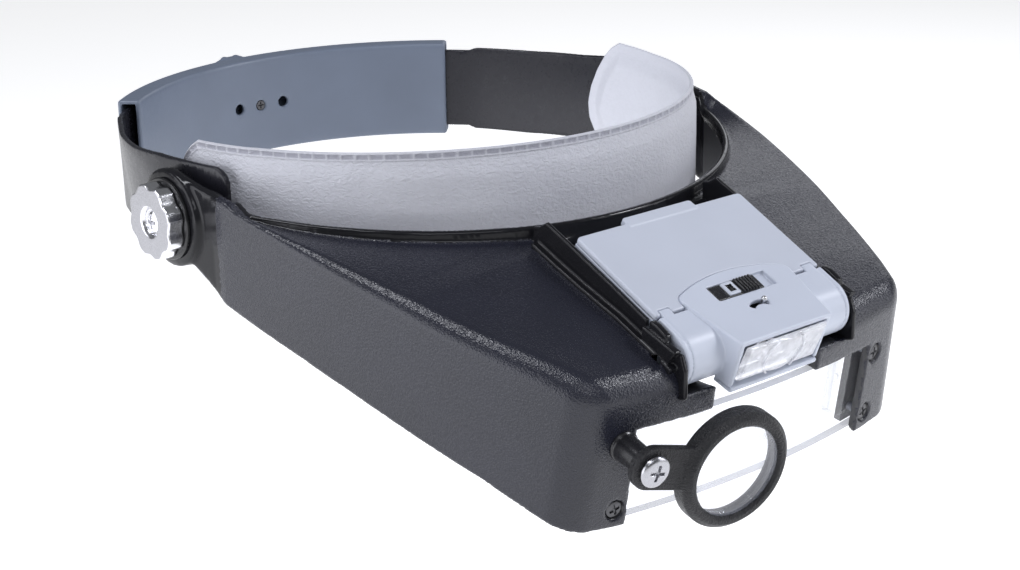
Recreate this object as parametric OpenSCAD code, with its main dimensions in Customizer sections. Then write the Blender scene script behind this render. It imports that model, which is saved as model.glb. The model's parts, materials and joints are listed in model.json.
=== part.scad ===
// Head visor magnifier: head band, hood visor, lenses and clip-in light box.
// Origin: centre of the head opening at the band's mid height. +Z up, the face looks along -Y.

/* [Head band] */
// Inner radius of the rear sleeve
sleeve_r = 84.4; // [84.2:0.1:84.5]
// Height of the rear sleeve
sleeve_h = 31.4; // [30.4:0.2:33]
// Half of the angle that the rear sleeve covers, in degrees
sleeve_half_deg = 44.5; // [40:0.5:46]
// Half height of the straps where they run in the sleeve
strap_half = 13.1; // [12.4:0.1:13.4]
// Inner radius of the forehead pad
pad_r = 80.2; // [79.8:0.1:80.4]
// Top of the pad at the forehead
pad_top = 23.6; // [22:0.2:24]
// Bottom of the pad
pad_bottom = -20.5; // [-22:0.5:-18]

/* [Side knobs] */
// Height of the visor's pivot axis
piv_z = 1.5; // [1:0.25:2]
// Outer radius of the side knobs
knob_r = 10; // [9:0.25:10.5]
// Number of lobes on a side knob
knob_lobes = 7; // [5:1:9]

/* [Visor] */
// Wall thickness of the visor
wall = 2.2; // [1.8:0.1:2.4]
// Radius of the visor's bowed front
bow_r = 330; // [320:5:345]
// Half width of the view window
window_half = 43.3; // [42:0.1:44]
// Radius of the collar around the forehead pad
collar_r = 91; // [90.6:0.1:91.4]

/* [Loupe] */
// Outer radius of the loupe's ring
loupe_r = 16.2; // [15:0.1:16.4]
// Radius of the loupe's lens
loupe_lens_r = 13.0; // [12:0.1:13.2]
// Distance from the loupe's pivot to the middle of its lens
loupe_arm = 27; // [26:0.25:28]

/* [Light box] */
// Half width of the light box
box_half = 29.9; // [29:0.1:30]
// Length of the light box behind its barrel
box_len = 40; // [39:0.25:40.5]
// Radius of the barrel at the box's front
barrel_r = 7.6; // [7.4:0.1:7.7]
// Tilt of the light box, in degrees
box_tilt = 25; // [24:0.5:26]

/* [Hidden] */
$fn = 64;
e = 0.01;

piv_y = -10;
strapL = 88.2;       // inner radius, left strap (outer layer)
strapR = 86.3;       // inner radius, right strap (inner layer)
strap_t = 1.5;
pinion_r = 5;
gear_m = 1;
face_tilt = 8.75;
face_y = -144;
face_z = -33.9;
screw_x = 47;
screw_w = [-3.4, -21.9];
bar_y = -137.5;
bar_z = -19.3;
post_turn = 8.2;     // the bowed face turns this far at the loupe post
lens_t = 2.5;

// ---------- helpers ----------
// arc wall: t is measured from +Y towards -X, in degrees
module arc(r1, r2, z1, z2, t1, t2) {
  rotate([0, 0, 90 + t1]) rotate_extrude(angle = t2 - t1, $fn = 180)
    translate([r1, z1]) square([r2 - r1, z2 - z1]);
}
// side view outline [y, z] drawn across the width
module side(pts, x1, x2) {
  translate([x1, 0, 0]) rotate([90, 0, 90]) linear_extrude(x2 - x1) polygon(pts);
}
module xcyl(r, x1, x2, y, z, f = 64) {
  translate([x1, y, z]) rotate([0, 90, 0]) cylinder(r = r, h = x2 - x1, $fn = f);
}
module face() { translate([0, face_y, face_z]) rotate([face_tilt, 0, 0]) children(); }
// bowed layer set back by d1..d2 behind the front face, in face coordinates
module bow_layer(d1, d2, x1, x2, w1, w2) {
  difference() {
    intersection() {
      translate([0, bow_r, w1]) cylinder(r = bow_r - d1, h = w2 - w1, $fn = 360);
      translate([x1, -5, w1]) cube([x2 - x1, 30, w2 - w1]);
    }
    translate([0, bow_r, w1 - 1]) cylinder(r = bow_r - d2, h = w2 - w1 + 2, $fn = 360);
  }
}
module at_screw(x, w) {
  face() translate([0, bow_r, w]) rotate([0, 0, asin(x / bow_r)]) translate([0, -bow_r, 0]) children();
}
module box_frame() { translate([0, bar_y, bar_z]) rotate([box_tilt, 0, 0]) children(); }

// ---------- head band ----------
sl_o = sleeve_r + 7.1;
module rear_sleeve() color("slategray") {
  h = sleeve_h / 2;
  difference() {
    union() {
      arc(sleeve_r, sl_o, -h, h, -sleeve_half_deg, sleeve_half_deg);
      translate([0, 92.8, 0]) rotate([90, 0, 0]) cylinder(r = 10.5, h = 2.2);
    }
    arc(sleeve_r + 1.5, sl_o - 1.3, -h + 1.2, h - 1.2, -sleeve_half_deg - 1, sleeve_half_deg + 1);
    translate([0, 95, 0]) rotate([90, 0, 0]) cylinder(r = 2.48, h = 6);
    for (a = [-5.8, 0, 5.8]) rotate([0, 0, a]) translate([0, 87, 0]) rotate([90, 0, 0]) cylinder(r = 1.7, h = 4, $fn = 32);
  }
}
rack_tooth = [[-1.24, 7.4], [-1.24, 6.4], [-0.725, 5], [-0.40, 4.1], [0.40, 4.1], [0.725, 5], [1.24, 6.4], [1.24, 7.4]];
strap_side = concat(
  [[96, -strap_half], [96, strap_half], [56, strap_half], [54.2, 14], [37, 14], [18, 14.7], [2, 16.2], [-12, 16.6]],
  [for (a = [0 : 15 : 90]) [-21 - 5 * sin(a), 11.8 + 5 * cos(a)]],
  [for (a = [90 : -15 : 0]) [-21 - 5 * sin(a), -11.8 - 5 * cos(a)]],
  [[-12, -16.6], [2, -16.2], [18, -14.7], [37, -14], [54.2, -14], [56, -strap_half]]);
// strap on the -X side; up = +1 puts the rack teeth on top of the slot, -1 below it
module strap(r, up) {
  pitch = 180 * gear_m / (r + strap_t / 2);
  difference() {
    union() {
      intersection() {
        arc(r, r + strap_t, -18, 18, -17, 112);
        side(strap_side, -100, 60);
      }
      // hook nib for the pad's loop
      rotate([0, 0, 66]) translate([-0.9, r + 0.3, 12]) cube([1.8, 0.9, 3.4]);
    }
    // slot that the pinion runs in, with the teeth left standing
    difference() {
      arc(r - 1, r + strap_t + 1, up > 0 ? -6.7 : -6.3, up > 0 ? 6.3 : 6.7, -12, 14);
      for (k = [-5 : 5]) rotate([0, 0, (k + 0.5) * pitch]) translate([0, r + strap_t + 1.5, 0]) rotate([90, 0, 0])
        linear_extrude(strap_t + 3) polygon([for (p = rack_tooth) [p[0], p[1] * up]]);
    }
    xcyl(2.9, -95, -80, piv_y, piv_z, 48);
  }
}
module left_strap() color([0.1, 0.1, 0.11]) strap(strapL, 1);
module right_strap() color([0.1, 0.1, 0.11]) mirror([1, 0, 0]) strap(strapR, -1);

module size_knob() color([0.14, 0.14, 0.15]) {
  difference() {
    translate([0, 103, 0]) rotate([90, 0, 0]) union() {
      cylinder(r = 13.6, h = 9.6);
      for (i = [0 : 17]) rotate([0, 0, i * 20]) translate([13.3, 0, 0.8]) cylinder(r = 1.0, h = 8, $fn = 24);
    }
    translate([0, 103.5, 0]) rotate([90, 0, 0]) cylinder(r = 10, h = 2);
    translate([0, 104, 0]) rotate([90, 0, 0]) cylinder(r = 1.05, h = 12, $fn = 32);
  }
  difference() {
    translate([0, 93.6, 0]) rotate([90, 0, 0]) cylinder(r = 2.4, h = 3.85);
    translate([0, 104, 0]) rotate([90, 0, 0]) cylinder(r = 1.05, h = 15, $fn = 32);
  }
}
module size_pinion() color([0.8, 0.8, 0.78]) translate([0, 89.75, 0]) rotate([90, 0, 0]) difference() {
  union() {
    cylinder(r = 3.8, h = 3.55);
    for (i = [0 : 9]) rotate([0, 0, i * 36 + 90]) linear_extrude(3.55)
      polygon([[3.2, -1.05], [5, -0.6], [5.95, -0.25], [5.95, 0.25], [5, 0.6], [3.2, 1.05]]);
  }
  translate([0, 0, -1]) cylinder(r = 1.05, h = 6, $fn = 32);
}
module size_knob_screw() color("silver") {
  difference() {
    translate([0, 86.2, 0]) rotate([90, 0, 0]) cylinder(r = 1.5, h = 1.5, $fn = 32);
    for (a = [0, 90]) translate([0, 84.2, 0]) rotate([0, a, 0]) translate([-1.1, 0, -0.2]) cube([2.2, 1.2, 0.4]);
  }
  translate([0, 99, 0]) rotate([90, 0, 0]) cylinder(r = 1.0, h = 12.9, $fn = 32);
}
module size_spring_washer() color("silver") difference() {
  translate([0, 93.2, 0]) rotate([90, 0, 0]) cylinder(r = 8.5, h = 0.4);
  translate([0, 94, 0]) rotate([90, 0, 0]) cylinder(r = 4, h = 2);
}

// ---------- forehead pad ----------
pad_side = concat([[-95, pad_bottom], [-95, pad_top], [-60, pad_top - 0.8], [-20, pad_top - 1.8]],
  [for (a = [84 : -12 : -84]) [-5 + 17 * cos(a), 0.8 + 21 * sin(a)]], [[-20, pad_bottom]]);
module sweat_pad() color([0.82, 0.82, 0.83]) difference() {
  intersection() {
    arc(pad_r, pad_r + 3.6, -25, 26, 80, 280);
    side(pad_side, -90, 90);
  }
  arc(pad_r + 1.1, pad_r + 2.5, -12.3, 12.3, 84.5, 275.5);
  for (s = [0, 1]) mirror([s, 0, 0]) {
    xcyl(2.7, 81.5, 94, piv_y, piv_z, 48);
    xcyl(3.55, 80.3, 82, piv_y, piv_z, 48);
  }
}
module front_band() color([0.2, 0.2, 0.22]) difference() {
  arc(pad_r + 1.3, pad_r + 2.3, -12, 12, 85, 275);
  for (s = [0, 1]) mirror([s, 0, 0]) { xcyl(2.55, 78, 90, piv_y, piv_z, 48); xcyl(3.5, 78, 81.15, piv_y, piv_z, 48); }
}
module pivot_bolts() color("silver") for (s = [0, 1]) mirror([s, 0, 0]) {
  xcyl(3.4, 80.4, 81.1, piv_y, piv_z, 48);
  xcyl(2.5, 80.8, 96, piv_y, piv_z, 48);
}
module pivot_washers() color([0.2, 0.2, 0.2]) {
  difference() { xcyl(4.6, -85.5, -83.9, piv_y, piv_z, 48); xcyl(2.55, -90, -80, piv_y, piv_z, 48); }
  difference() { xcyl(3.9, 83.9, 84.25, piv_y, piv_z, 48); xcyl(2.55, 80, 90, piv_y, piv_z, 48); }
}
module friction_rings() color([0.05, 0.05, 0.05]) for (s = [0, 1]) mirror([s, 0, 0]) difference() {
  xcyl(11.3, -94.1, -92.9, piv_y, piv_z, 96);
  xcyl(2.6, -96, -90, piv_y, piv_z, 48);
}
module knob() difference() {
  translate([-94.2, piv_y, piv_z]) rotate([0, -90, 0]) difference() {
    union() { cylinder(r = knob_r, h = 4.2, $fn = 96); cylinder(r1 = knob_r - 0.5, r2 = knob_r - 1.2, h = 4.8, $fn = 96); }
    for (i = [0 : knob_lobes - 1]) rotate([0, 0, (i + 0.5) * 360 / knob_lobes]) translate([knob_r + 1.3, 0, -1]) cylinder(r = 2.9, h = 7, $fn = 48);
    translate([0, 0, 3.2]) cylinder(r = 3.2, h = 3, $fn = 48);
  }
  xcyl(2.57, -100, -90, piv_y, piv_z, 48);
}
module left_knob() color([0.9, 0.9, 0.92]) knob();
module right_knob() color([0.9, 0.9, 0.92]) mirror([1, 0, 0]) knob();
module knob_screw() difference() {
  xcyl(2.45, -98.6, -96.1, piv_y, piv_z, 48);
  for (a = [0, 90]) translate([-98.2, piv_y, piv_z]) rotate([a, 0, 0]) translate([-0.6, -1.7, -0.35]) cube([1.2, 3.4, 0.7]);
}
module left_knob_screw() color("silver") knob_screw();
module right_knob_screw() color("silver") mirror([1, 0, 0]) knob_screw();

// ---------- visor ----------
function hw(y) = -237.07 + sqrt(330 * 330 - (y - 7) * (y - 7));
corner_y = -131;
function plan(t, yb) = let (c = hw(corner_y) - 10) concat(
  [for (y = [yb : -9 : corner_y + 4]) [-(hw(y) - t), y]],
  [for (a = [0 : 15 : 75]) [-(c + (10 - t) * cos(a)), corner_y - (10 - t) * sin(a)]],
  [[-(c - 2), corner_y - 60], [c - 2, corner_y - 60]],
  [for (a = [75 : -15 : 0]) [c + (10 - t) * cos(a), corner_y - (10 - t) * sin(a)]],
  [for (y = [corner_y + 4 + (yb - corner_y - 4) % 9 : 9 : yb]) [hw(y) - t, y]]);
shell_top = [[-10, 15], [-23, 12.6], [-34, 10.5], [-44, 7.9], [-62, 3.4], [-78, -1.2], [-92, -5.4], [-106, -9.5], [-119, -13.2], [-141, -19.6], [-160, -25]];
shell_low = [[-160, -66], [-136.5, -60.2], [-128.4, -55.5], [-113, -47.6], [-88, -37.2], [-76, -32.4], [-60, -26.7], [-42, -21.2], [-31.5, -18], [-20, -11], [-10, -12]];
inner_top = concat([[30, 40]], [for (p = [shell_top[1], shell_top[2], shell_top[3], shell_top[4], shell_top[5], shell_top[6], shell_top[7], shell_top[8], shell_top[9], shell_top[10]]) [p[0], p[1] - wall - 0.1]], [[-160, -80], [30, -80]]);
module front_limit(d, h) face() translate([0, bow_r, -60]) cylinder(r = bow_r - d, h = h, $fn = 360);
module visor_outer() intersection() {
  translate([0, 0, -70]) linear_extrude(100) polygon(plan(0, 4));
  union() {
    side(concat(shell_top, shell_low), -100, 100);
    xcyl(13.5, -100, 100, piv_y, piv_z, 96);
  }
  translate([0, 0, 0]) front_limit(0, 140);
}
module visor_inner() intersection() {
  translate([0, 0, -80]) linear_extrude(140) polygon(plan(wall, 22));
  side(inner_top, -100, 100);
  front_limit(2.4, 160);
}
// pocket side wall, seen from the side; it follows the box and wraps the barrel
wall_side = concat([[-88, -12], [-88, 6.9], [-94.5, 6.5], [-99, 5.6], [-104, 4.3], [-108.2, 3.1]],
  [for (a = [0 : 15 : 105]) [bar_y + 8.9 * sin(-box_tilt - a * 1), bar_z + 8.9 * cos(-box_tilt - a * 1)]],
  [[-144, -27.4], [-136, -30]]);
module visor_shell() color([0.13, 0.13, 0.14]) difference() {
  union() {
    difference() {
      visor_outer();
      visor_inner();
      intersection() {
        translate([0, 0, -40]) cylinder(r = collar_r, h = 90, $fn = 180);
        translate([0, 0, -80]) linear_extrude(140) polygon(plan(wall, 22));
      }
      intersection() {
        translate([-100, -34, -40]) cube([200, 60, 90]);
        translate([0, 0, -80]) linear_extrude(140) polygon(plan(wall, 22));
      }
      // opening for the light box
      translate([-31, -170, -27.4]) cube([62, 78, 60]);
    }
    // collar
    intersection() {
      difference() { translate([0, 0, -14]) cylinder(r = collar_r + 2.2, h = 30, $fn = 180); translate([0, 0, -15]) cylinder(r = collar_r, h = 40, $fn = 180); }
      side([[-95, -12], [-95, 3.4], [-40, 6.9], [-40, 5.8], [-62, 1.2], [-78, -3.4], [-88, -6.6]], -90, 90);
    }
    // pocket floor and side walls
    box_frame() translate([-33.2, 1, -barrel_r - 2.8]) cube([66.4, 44, 2]);
    for (s = [0, 1]) mirror([s, 0, 0]) side(wall_side, -33.2, -30.5);
    // tabs beside the lamp gap
    for (s = [0, 1]) mirror([s, 0, 0]) difference() {
      translate([19.2, -143, -34]) cube([13, 12, 6.6]);
      translate([19, -150, -35]) cube([14, 6, 1]);
    }
    for (s = [0, 1]) mirror([s, 0, 0]) intersection() {
      translate([19.2, -146, -34]) cube([13, 6, 6.6]);
      front_limit(0, 140);
    }
    // pivot bosses
    for (s = [0, 1]) mirror([s, 0, 0]) xcyl(12.5, -92.6, -90.4, piv_y, piv_z, 96);
    xcyl(7, 88.2, 91, piv_y, piv_z, 64);
  }
  // room for the outer strap when the visor is up
  xcyl(17, -89.95, -80, piv_y, piv_z, 96);
  // lamp gap and window
  translate([-19.2, -160, -34.4]) cube([38.4, 29.5, 20]);
  face() translate([-window_half, -10, -60]) cube([2 * window_half, 16.5, 60]);
  // collar side of the pocket stays open above the floor
  for (s = [0, 1]) mirror([s, 0, 0]) xcyl(2.57, -96, -86, piv_y, piv_z, 48);
  // hinge bores for the light box
  for (s = [0, 1]) mirror([s, 0, 0]) xcyl(2.06, -34, -30, bar_y, bar_z, 48);
  // lens screws: shank and recess
  for (x = [-screw_x, screw_x]) for (w = screw_w) at_screw(x, w) rotate([-90, 0, 0]) {
    translate([0, 0, -3]) cylinder(r = 1.3, h = 9, $fn = 32);
    if (!(x < 0 && w > -10)) translate([0, 0, -3]) cylinder(r = 2.7, h = 4.1, $fn = 48);
  }
}
module main_lens() color([0.85, 0.92, 0.97, 0.4]) difference() {
  face() bow_layer(2.6, 2.6 + lens_t, -50, 50, -26.4, -1.2);
  for (x = [-screw_x, screw_x]) for (w = screw_w) at_screw(x, w) rotate([-90, 0, 0]) translate([0, 0, 0]) cylinder(r = 1.3, h = 9, $fn = 32);
}
module lens_screw() rotate([-90, 0, 0]) {
  difference() {
    translate([0, 0, 0.2]) cylinder(r = 2.5, h = 0.85, $fn = 48);
    for (a = [0, 90]) rotate([0, 0, a]) translate([-1.5, -0.3, -0.5]) cube([3, 0.6, 1.1]);
  }
  translate([0, 0, 1]) cylinder(r = 1.15, h = 5.6, $fn = 32);
}
module lens_screws() color([0.15, 0.15, 0.16]) for (p = [[-screw_x, screw_w[1]], [screw_x, screw_w[0]], [screw_x, screw_w[1]]]) at_screw(p[0], p[1]) lens_screw();
// bars behind the lens: the screws thread into them and they carry the flip lens
flip_y = 12;
flip_w = -3.2;
module lens_clamps() color([0.12, 0.12, 0.13]) difference() {
  union() {
    for (s = [0, 1]) mirror([s, 0, 0]) {
      face() bow_layer(5.3, 7.6, 43.6, 50.5, -26.2, -0.7);
      face() intersection() {
        translate([43.6, 8, -6.4]) cube([2.4, 7, 5.6]);
        translate([0, bow_r, -20]) cylinder(r = bow_r - 5.4, h = 40, $fn = 360);
      }
    }
  }
  for (x = [-screw_x, screw_x]) for (w = screw_w) at_screw(x, w) rotate([-90, 0, 0]) translate([0, 0, 3]) cylinder(r = 1.2, h = 6, $fn = 32);
  face() xcyl(1.05, -48, 48, flip_y, flip_w, 32);
}
module flip_lens() color([0.85, 0.92, 0.97, 0.4]) face() difference() {
  translate([-40.9, flip_y - 1.1, -24.5]) cube([81.8, 2.2, 19.6]);
  for (s = [-1, 1]) translate([s * 40.9 - 6, flip_y - 3, -26]) cube([12 - 6 * 0, 6, 3.2]);
}
module flip_frame() color([0.12, 0.12, 0.13]) face() for (s = [0, 1]) mirror([s, 0, 0]) {
  difference() {
    translate([40.95, flip_y - 1.6, -24]) cube([1.9, 3.2, 22.4]);
    translate([40, flip_y - 5, -26]) cube([0.1, 10, 30]);
  }
  xcyl(1.0, 42, 45.6, flip_y, flip_w, 32);
  xcyl(0.8, 42.5, 43.4, flip_y, -13.5, 24);
}
// ---------- loupe ----------
module at_loupe() at_screw(-screw_x, screw_w[0]) children();
module loupe_post() color([0.1, 0.1, 0.1]) at_loupe() rotate([90, 0, 0]) {
  translate([0, 0, 0.05]) cylinder(r = 4.6, h = 1.4, $fn = 64);
  difference() {
    translate([0, 0, 1.2]) cylinder(r = 3.6, h = 8.2, $fn = 64);
    translate([0, 0, 4]) cylinder(r = 1.26, h = 8, $fn = 32);
  }
  translate([0, 0, -6.6]) cylinder(r = 1.15, h = 7, $fn = 32);
}
loupe_dir = -14;
module loupe_plane() at_loupe() rotate([90, 0, 0]) translate([0, 0, 9.7]) rotate([0, 0, loupe_dir]) children();
module loupe_ring() color([0.08, 0.08, 0.08]) loupe_plane() difference() {
  union() {
    cylinder(r = 5.7, h = 2.6, $fn = 64);
    translate([0, -5.7, 0]) cube([14, 11.4, 2.6]);
    translate([loupe_arm, 0, -1.4]) cylinder(r = loupe_r, h = 5.4, $fn = 120);
  }
  translate([loupe_arm, 0, -2]) cylinder(r = loupe_lens_r, h = 5.0, $fn = 96);
  translate([loupe_arm, 0, -3]) cylinder(r = loupe_lens_r - 0.7, h = 10, $fn = 96);
  translate([0, 0, -1]) cylinder(r = 1.26, h = 6, $fn = 32);
}
module loupe_lens() color([0.85, 0.92, 0.97, 0.4]) loupe_plane() translate([loupe_arm, 0, 0]) intersection() {
  translate([0, 0, 38.75]) sphere(r = 40, $fn = 160);
  translate([0, 0, -50.6]) sphere(r = 55, $fn = 160);
  translate([0, 0, -5]) cylinder(r = loupe_lens_r - 0.05, h = 12, $fn = 96);
}
module loupe_screw() color([0.9, 0.9, 0.92]) loupe_plane() difference() {
  union() {
    translate([0, 0, 3.1]) cylinder(r = 4.2, h = 0.9, $fn = 64);
    translate([0, 0, 4.0]) cylinder(r1 = 4.2, r2 = 2.9, h = 0.9, $fn = 64);
    translate([0, 0, -5]) cylinder(r = 1.2, h = 8.2, $fn = 32);
  }
  for (a = [0, 90]) rotate([0, 0, a]) translate([-1.6, -0.35, 3.9]) cube([3.2, 0.7, 2]);
}
module loupe_washer() color("silver") loupe_plane() difference() {
  translate([0, 0, 2.65]) cylinder(r = 3.2, h = 0.4, $fn = 48);
  translate([0, 0, 2]) cylinder(r = 1.26, h = 2, $fn = 32);
}

// ---------- light box, in its own tilted frame: y runs up the slope, z is normal ----------
function lamp_top(u) = 7.9 + (15 - u) * 0.0478;
seam_v = -3.5;
cover_u = 8.6;   // the cover's hinge line
cover_v = 6.7;
module barrel_body(r, x, v1, v2, u2) {
  intersection() {
    union() {
      xcyl(r, -x, x, 0, 0, 96);
      translate([-x, 0, -r]) cube([2 * x, u2, 2 * r]);
    }
    translate([-x - 1, -20, v1]) cube([2 * x + 2, 20 + u2, v2 - v1]);
  }
}
module lamp_plan(g) { // outline from above of the raised lamp housing, grown by g
  polygon(concat([[-16.3 - g, -11.6 - g], [-20.3 - g, 10.9]],
    [for (x = [-20 : 4 : 20]) [x * (20.3 + g) / 20.3, 10.9 + 4.3 * (1 - x * x / 412) + g]],
    [[20.3 + g, 10.9], [16.3 + g, -11.6 - g]]));
}
module lamp_wedge(i) { // i = inset of the inner copy
  intersection() {
    side([[16, lamp_top(16) - i], [-10.1, lamp_top(-10.1) - i], [-11.3, -4.6], [-6.3, -4.6], [-6.3, seam_v + 0.05], [-2, seam_v + 0.05], [-2, 0], [16, 0]], -22, 22);
    translate([0, 0, -8]) linear_extrude(20) lamp_plan(-i);
  }
}
module lamp_case() color([0.62, 0.65, 0.72]) box_frame() difference() {
  union() {
    barrel_body(barrel_r, box_half, -barrel_r, seam_v, 8);
    translate([-box_half, 7.1, -barrel_r]) cube([2 * box_half, box_len - 7.1, barrel_r + 5.7]);
    for (s = [-1, 1]) xcyl(3.6, s * (box_half - 1) - 1, s * (box_half - 1) + 1, 0, 0, 48);
    for (s = [0, 1]) mirror([s, 0, 0]) xcyl(2.0, -32.8, -28.9, 0, 0, 48);
  }
  difference() {
    union() {
      // cell bay, front bay and the barrel's hollow
      translate([-box_half + 1.6, 14.8, -barrel_r + 1.4]) cube([2 * box_half - 3.2, box_len - 16.4, 30]);
      translate([-box_half + 1.6, 2, -barrel_r + 1.4]) cube([2 * box_half - 3.2, 11.4, 30]);
      intersection() {
        xcyl(barrel_r - 1.5, -box_half + 1.6, box_half - 1.6, 0, 0, 96);
        translate([-40, -20, -20]) cube([80, 23, 20]);
      }
    }
    // ribs behind the contacts, and the lamp's pivot socket
    for (i = [0, 1]) mirror([i, 0, 0]) translate([23.15, cells_u[i] - 4, -9]) cube([8, 8, 11]);
    translate([0, -3, -9]) cylinder(r = 2.7, h = 6.2, $fn = 48);
  }
  // clearance for the lamp housing and sole
  translate([-17.6, -12, -6.2]) cube([35.2, 6, 6]);
  translate([0, -3, -4.2]) cylinder(r = 1.56, h = 4, $fn = 32);
}
module lamp_hood() color([0.66, 0.69, 0.76]) box_frame() difference() {
  union() {
    barrel_body(barrel_r, box_half, seam_v + 0.05, barrel_r, 6.9);
    lamp_wedge(0);
    for (s = [0, 1]) mirror([s, 0, 0]) translate([24.4, 6.5, 5.9]) cube([3.7, 2.8, 1.7]);
  }
  barrel_body(barrel_r - 1.5, box_half - 1.6, seam_v - 2, 5.75, 9);
  intersection() {
    side([[5, lamp_top(5) - 1.4], [-9, lamp_top(-9) - 1.4], [-13, lamp_top(-9) - 1.4], [-13, -9], [5, -9]], -30, 30);
    translate([0, 0, -10]) linear_extrude(30) lamp_plan(-1.4);
  }
  // window opening
  translate([-14.9, -14, -3.2]) cube([29.8, 6, 11]);
  // rear part of the wedge rests on the case
  translate([-25, 6.9, -10]) cube([50, 12, 15.75]);
  // bores for the cover's hinge pins
  for (s = [0, 1]) mirror([s, 0, 0]) xcyl(0.55, 26.5, 29, cover_u, cover_v, 32);
  // room for the peg roots
  for (s = [-1, 1]) xcyl(3.7, s * (box_half - 1) - 1.2, s * (box_half - 1) + 1.2, 0, 0, 48);
  // switch recess and stem slot
  translate([-9.7, 5.6, 7.0]) cube([21.1, 5.6, 4]);
  translate([-3.6, 7.3, 4]) cube([8.9, 2.2, 6]);
  // slot for the aiming pin
  translate([0, -3, 0]) rotate([0, 0, 90]) rotate([0, 0, -43]) rotate_extrude(angle = 86, $fn = 96) translate([3.65, 4]) square([1.7, 8]);
}
module lamp_sole() color([0.08, 0.08, 0.09]) box_frame() difference() {
  translate([0, 0, -6.0]) linear_extrude(1.3) polygon([[-16, -11.6], [-16.8, -6.2], [16.8, -6.2], [16, -11.6]]);
  translate([-12, -9.5, -7]) cube([24, 1.6, 3]);
}
module lamp_window() color([0.9, 0.95, 1, 0.4]) box_frame() {
  translate([-14.8, -11.35, -3.1]) cube([29.6, 1.2, 10.8]);
  intersection() {
    translate([0, 2.1, 2.3]) sphere(r = 15, $fn = 128);
    translate([-8, -14, -3.0]) cube([16, 2.8, 10.6]);
    translate([0, -10, 2.3]) rotate([90, 0, 0]) cylinder(r = 7, h = 6, $fn = 96);
  }
}
module battery_cover() color([0.7, 0.73, 0.8]) box_frame() difference() {
  union() {
    difference() {
      union() {
        translate([-box_half, cover_u, 5.8]) cube([2 * box_half, box_len - cover_u, 1.8]);
        xcyl(0.9, -box_half, box_half, cover_u, cover_v, 48);
      }
      linear_extrude(20) lamp_plan(0.4);
    }
    translate([-12.6, box_len - 1, 5.8]) cube([25.2, 3.2, 1.8]);
    for (s = [-1, 1]) translate([s * 26.2 - 1.2, 10.2, 4.7]) cube([2.4, 1.6, 1.3]);
  }
  for (s = [0, 1]) mirror([s, 0, 0]) difference() {
    translate([24.1, 7, 5]) cube([4.3, 2.9, 4]);
    xcyl(0.5, 27, 30, cover_u, cover_v, 32);
  }
}
module switch_slider() color([0.07, 0.07, 0.08]) box_frame() {
  difference() {
    union() {
      translate([-9.5, 5.8, 7.1]) cube([16.6, 5.2, 1.2]);
      for (i = [0 : 5]) translate([-0.6 + i * 1.05, 5.9, 8.2]) cube([0.5, 5.0, 0.7]);
      translate([-5.2, 6.3, 8.2]) cube([3.4, 4.2, 0.5]);
    }
    translate([-4.4, 7.3, 8.3]) cube([1.8, 2.2, 1]);
  }
  translate([-3.3, 7.5, 4.3]) cube([4.4, 1.8, 2.9]);
}
module switch_body() color([0.3, 0.3, 0.3]) box_frame() difference() {
  translate([-7, 6.0, -barrel_r + 1.45]) cube([15, 5.2, 10.1]);
  translate([-4.0, 7.2, 2.5]) cube([9.5, 2.4, 4]);
}
module lamp_turn() translate([0, -3, 0]) rotate([0, 0, -22]) children();
module aim_lever() color([0.75, 0.76, 0.78]) box_frame() lamp_turn() difference() {
  union() {
    translate([0, 0, -4]) cylinder(r = 1.5, h = 8.5, $fn = 32);
    translate([-1.2, 0, 3.3]) cube([2.4, 5.2, 1.2]);
    translate([0, 4.5, 3.4]) cylinder(r = 0.62, h = 6.4, $fn = 32);
    difference() { translate([-3, -1, -1.4]) cube([6, 2, 4.4]); translate([0, -5, 0.8]) rotate([-90, 0, 0]) cylinder(r = 1.55, h = 10, $fn = 32); }
  }
  translate([0, -5, 0.8]) rotate([-90, 0, 0]) cylinder(r = 1.55, h = 10, $fn = 32);
}
module lamp_reflector() color("silver") box_frame() lamp_turn() translate([0, -1.65, 0.8]) rotate([90, 0, 0]) difference() {
  union() { cylinder(r1 = 2.2, r2 = 3.9, h = 3.0, $fn = 48); translate([0, 0, 3]) cylinder(r = 3.9, h = 0.5, $fn = 48); }
  translate([0, 0, -0.5]) cylinder(r = 1.55, h = 5, $fn = 32);
  translate([0, 0, 0.8]) cylinder(r1 = 1.6, r2 = 3.5, h = 2.8, $fn = 48);
}
module lamp_led() color([1, 1, 0.9]) box_frame() lamp_turn() translate([0, 1.2, 0.8]) rotate([90, 0, 0]) {
  cylinder(r = 1.45, h = 4.0, $fn = 32);
  translate([0, 0, 4.0]) intersection() { sphere(r = 1.45, $fn = 32); cylinder(r = 3, h = 3, $fn = 32); }
}
cells_u = [20.6, 32.2];
module battery_cells() color([0.55, 0.55, 0.2]) box_frame() for (i = [0, 1]) mirror([i, 0, 0]) {
  xcyl(5.2, -21.9, 21.5, cells_u[i], -0.8, 64);
  xcyl(1.9, 21.4, 22.5, cells_u[i], -0.8, 32);
}
module battery_contacts() color([0.8, 0.75, 0.5]) box_frame() for (i = [0, 1]) mirror([i, 0, 0]) {
  translate([22.7, cells_u[i] - 4, -6.15]) cube([0.4, 8, 8.2]);
  translate([-28.1, cells_u[i] - 4, -6.15]) cube([0.4, 8, 9]);
}
module battery_springs() color([0.8, 0.8, 0.8]) box_frame() for (i = [0, 1]) mirror([i, 0, 0]) {
  translate([-27.6, cells_u[i], -0.8]) rotate([0, 90, 0]) rotate_extrude($fn = 48) polygon([[3.6, 0], [4.1, 0], [2.9, 5.5], [2.4, 5.5]]);
}

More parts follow.
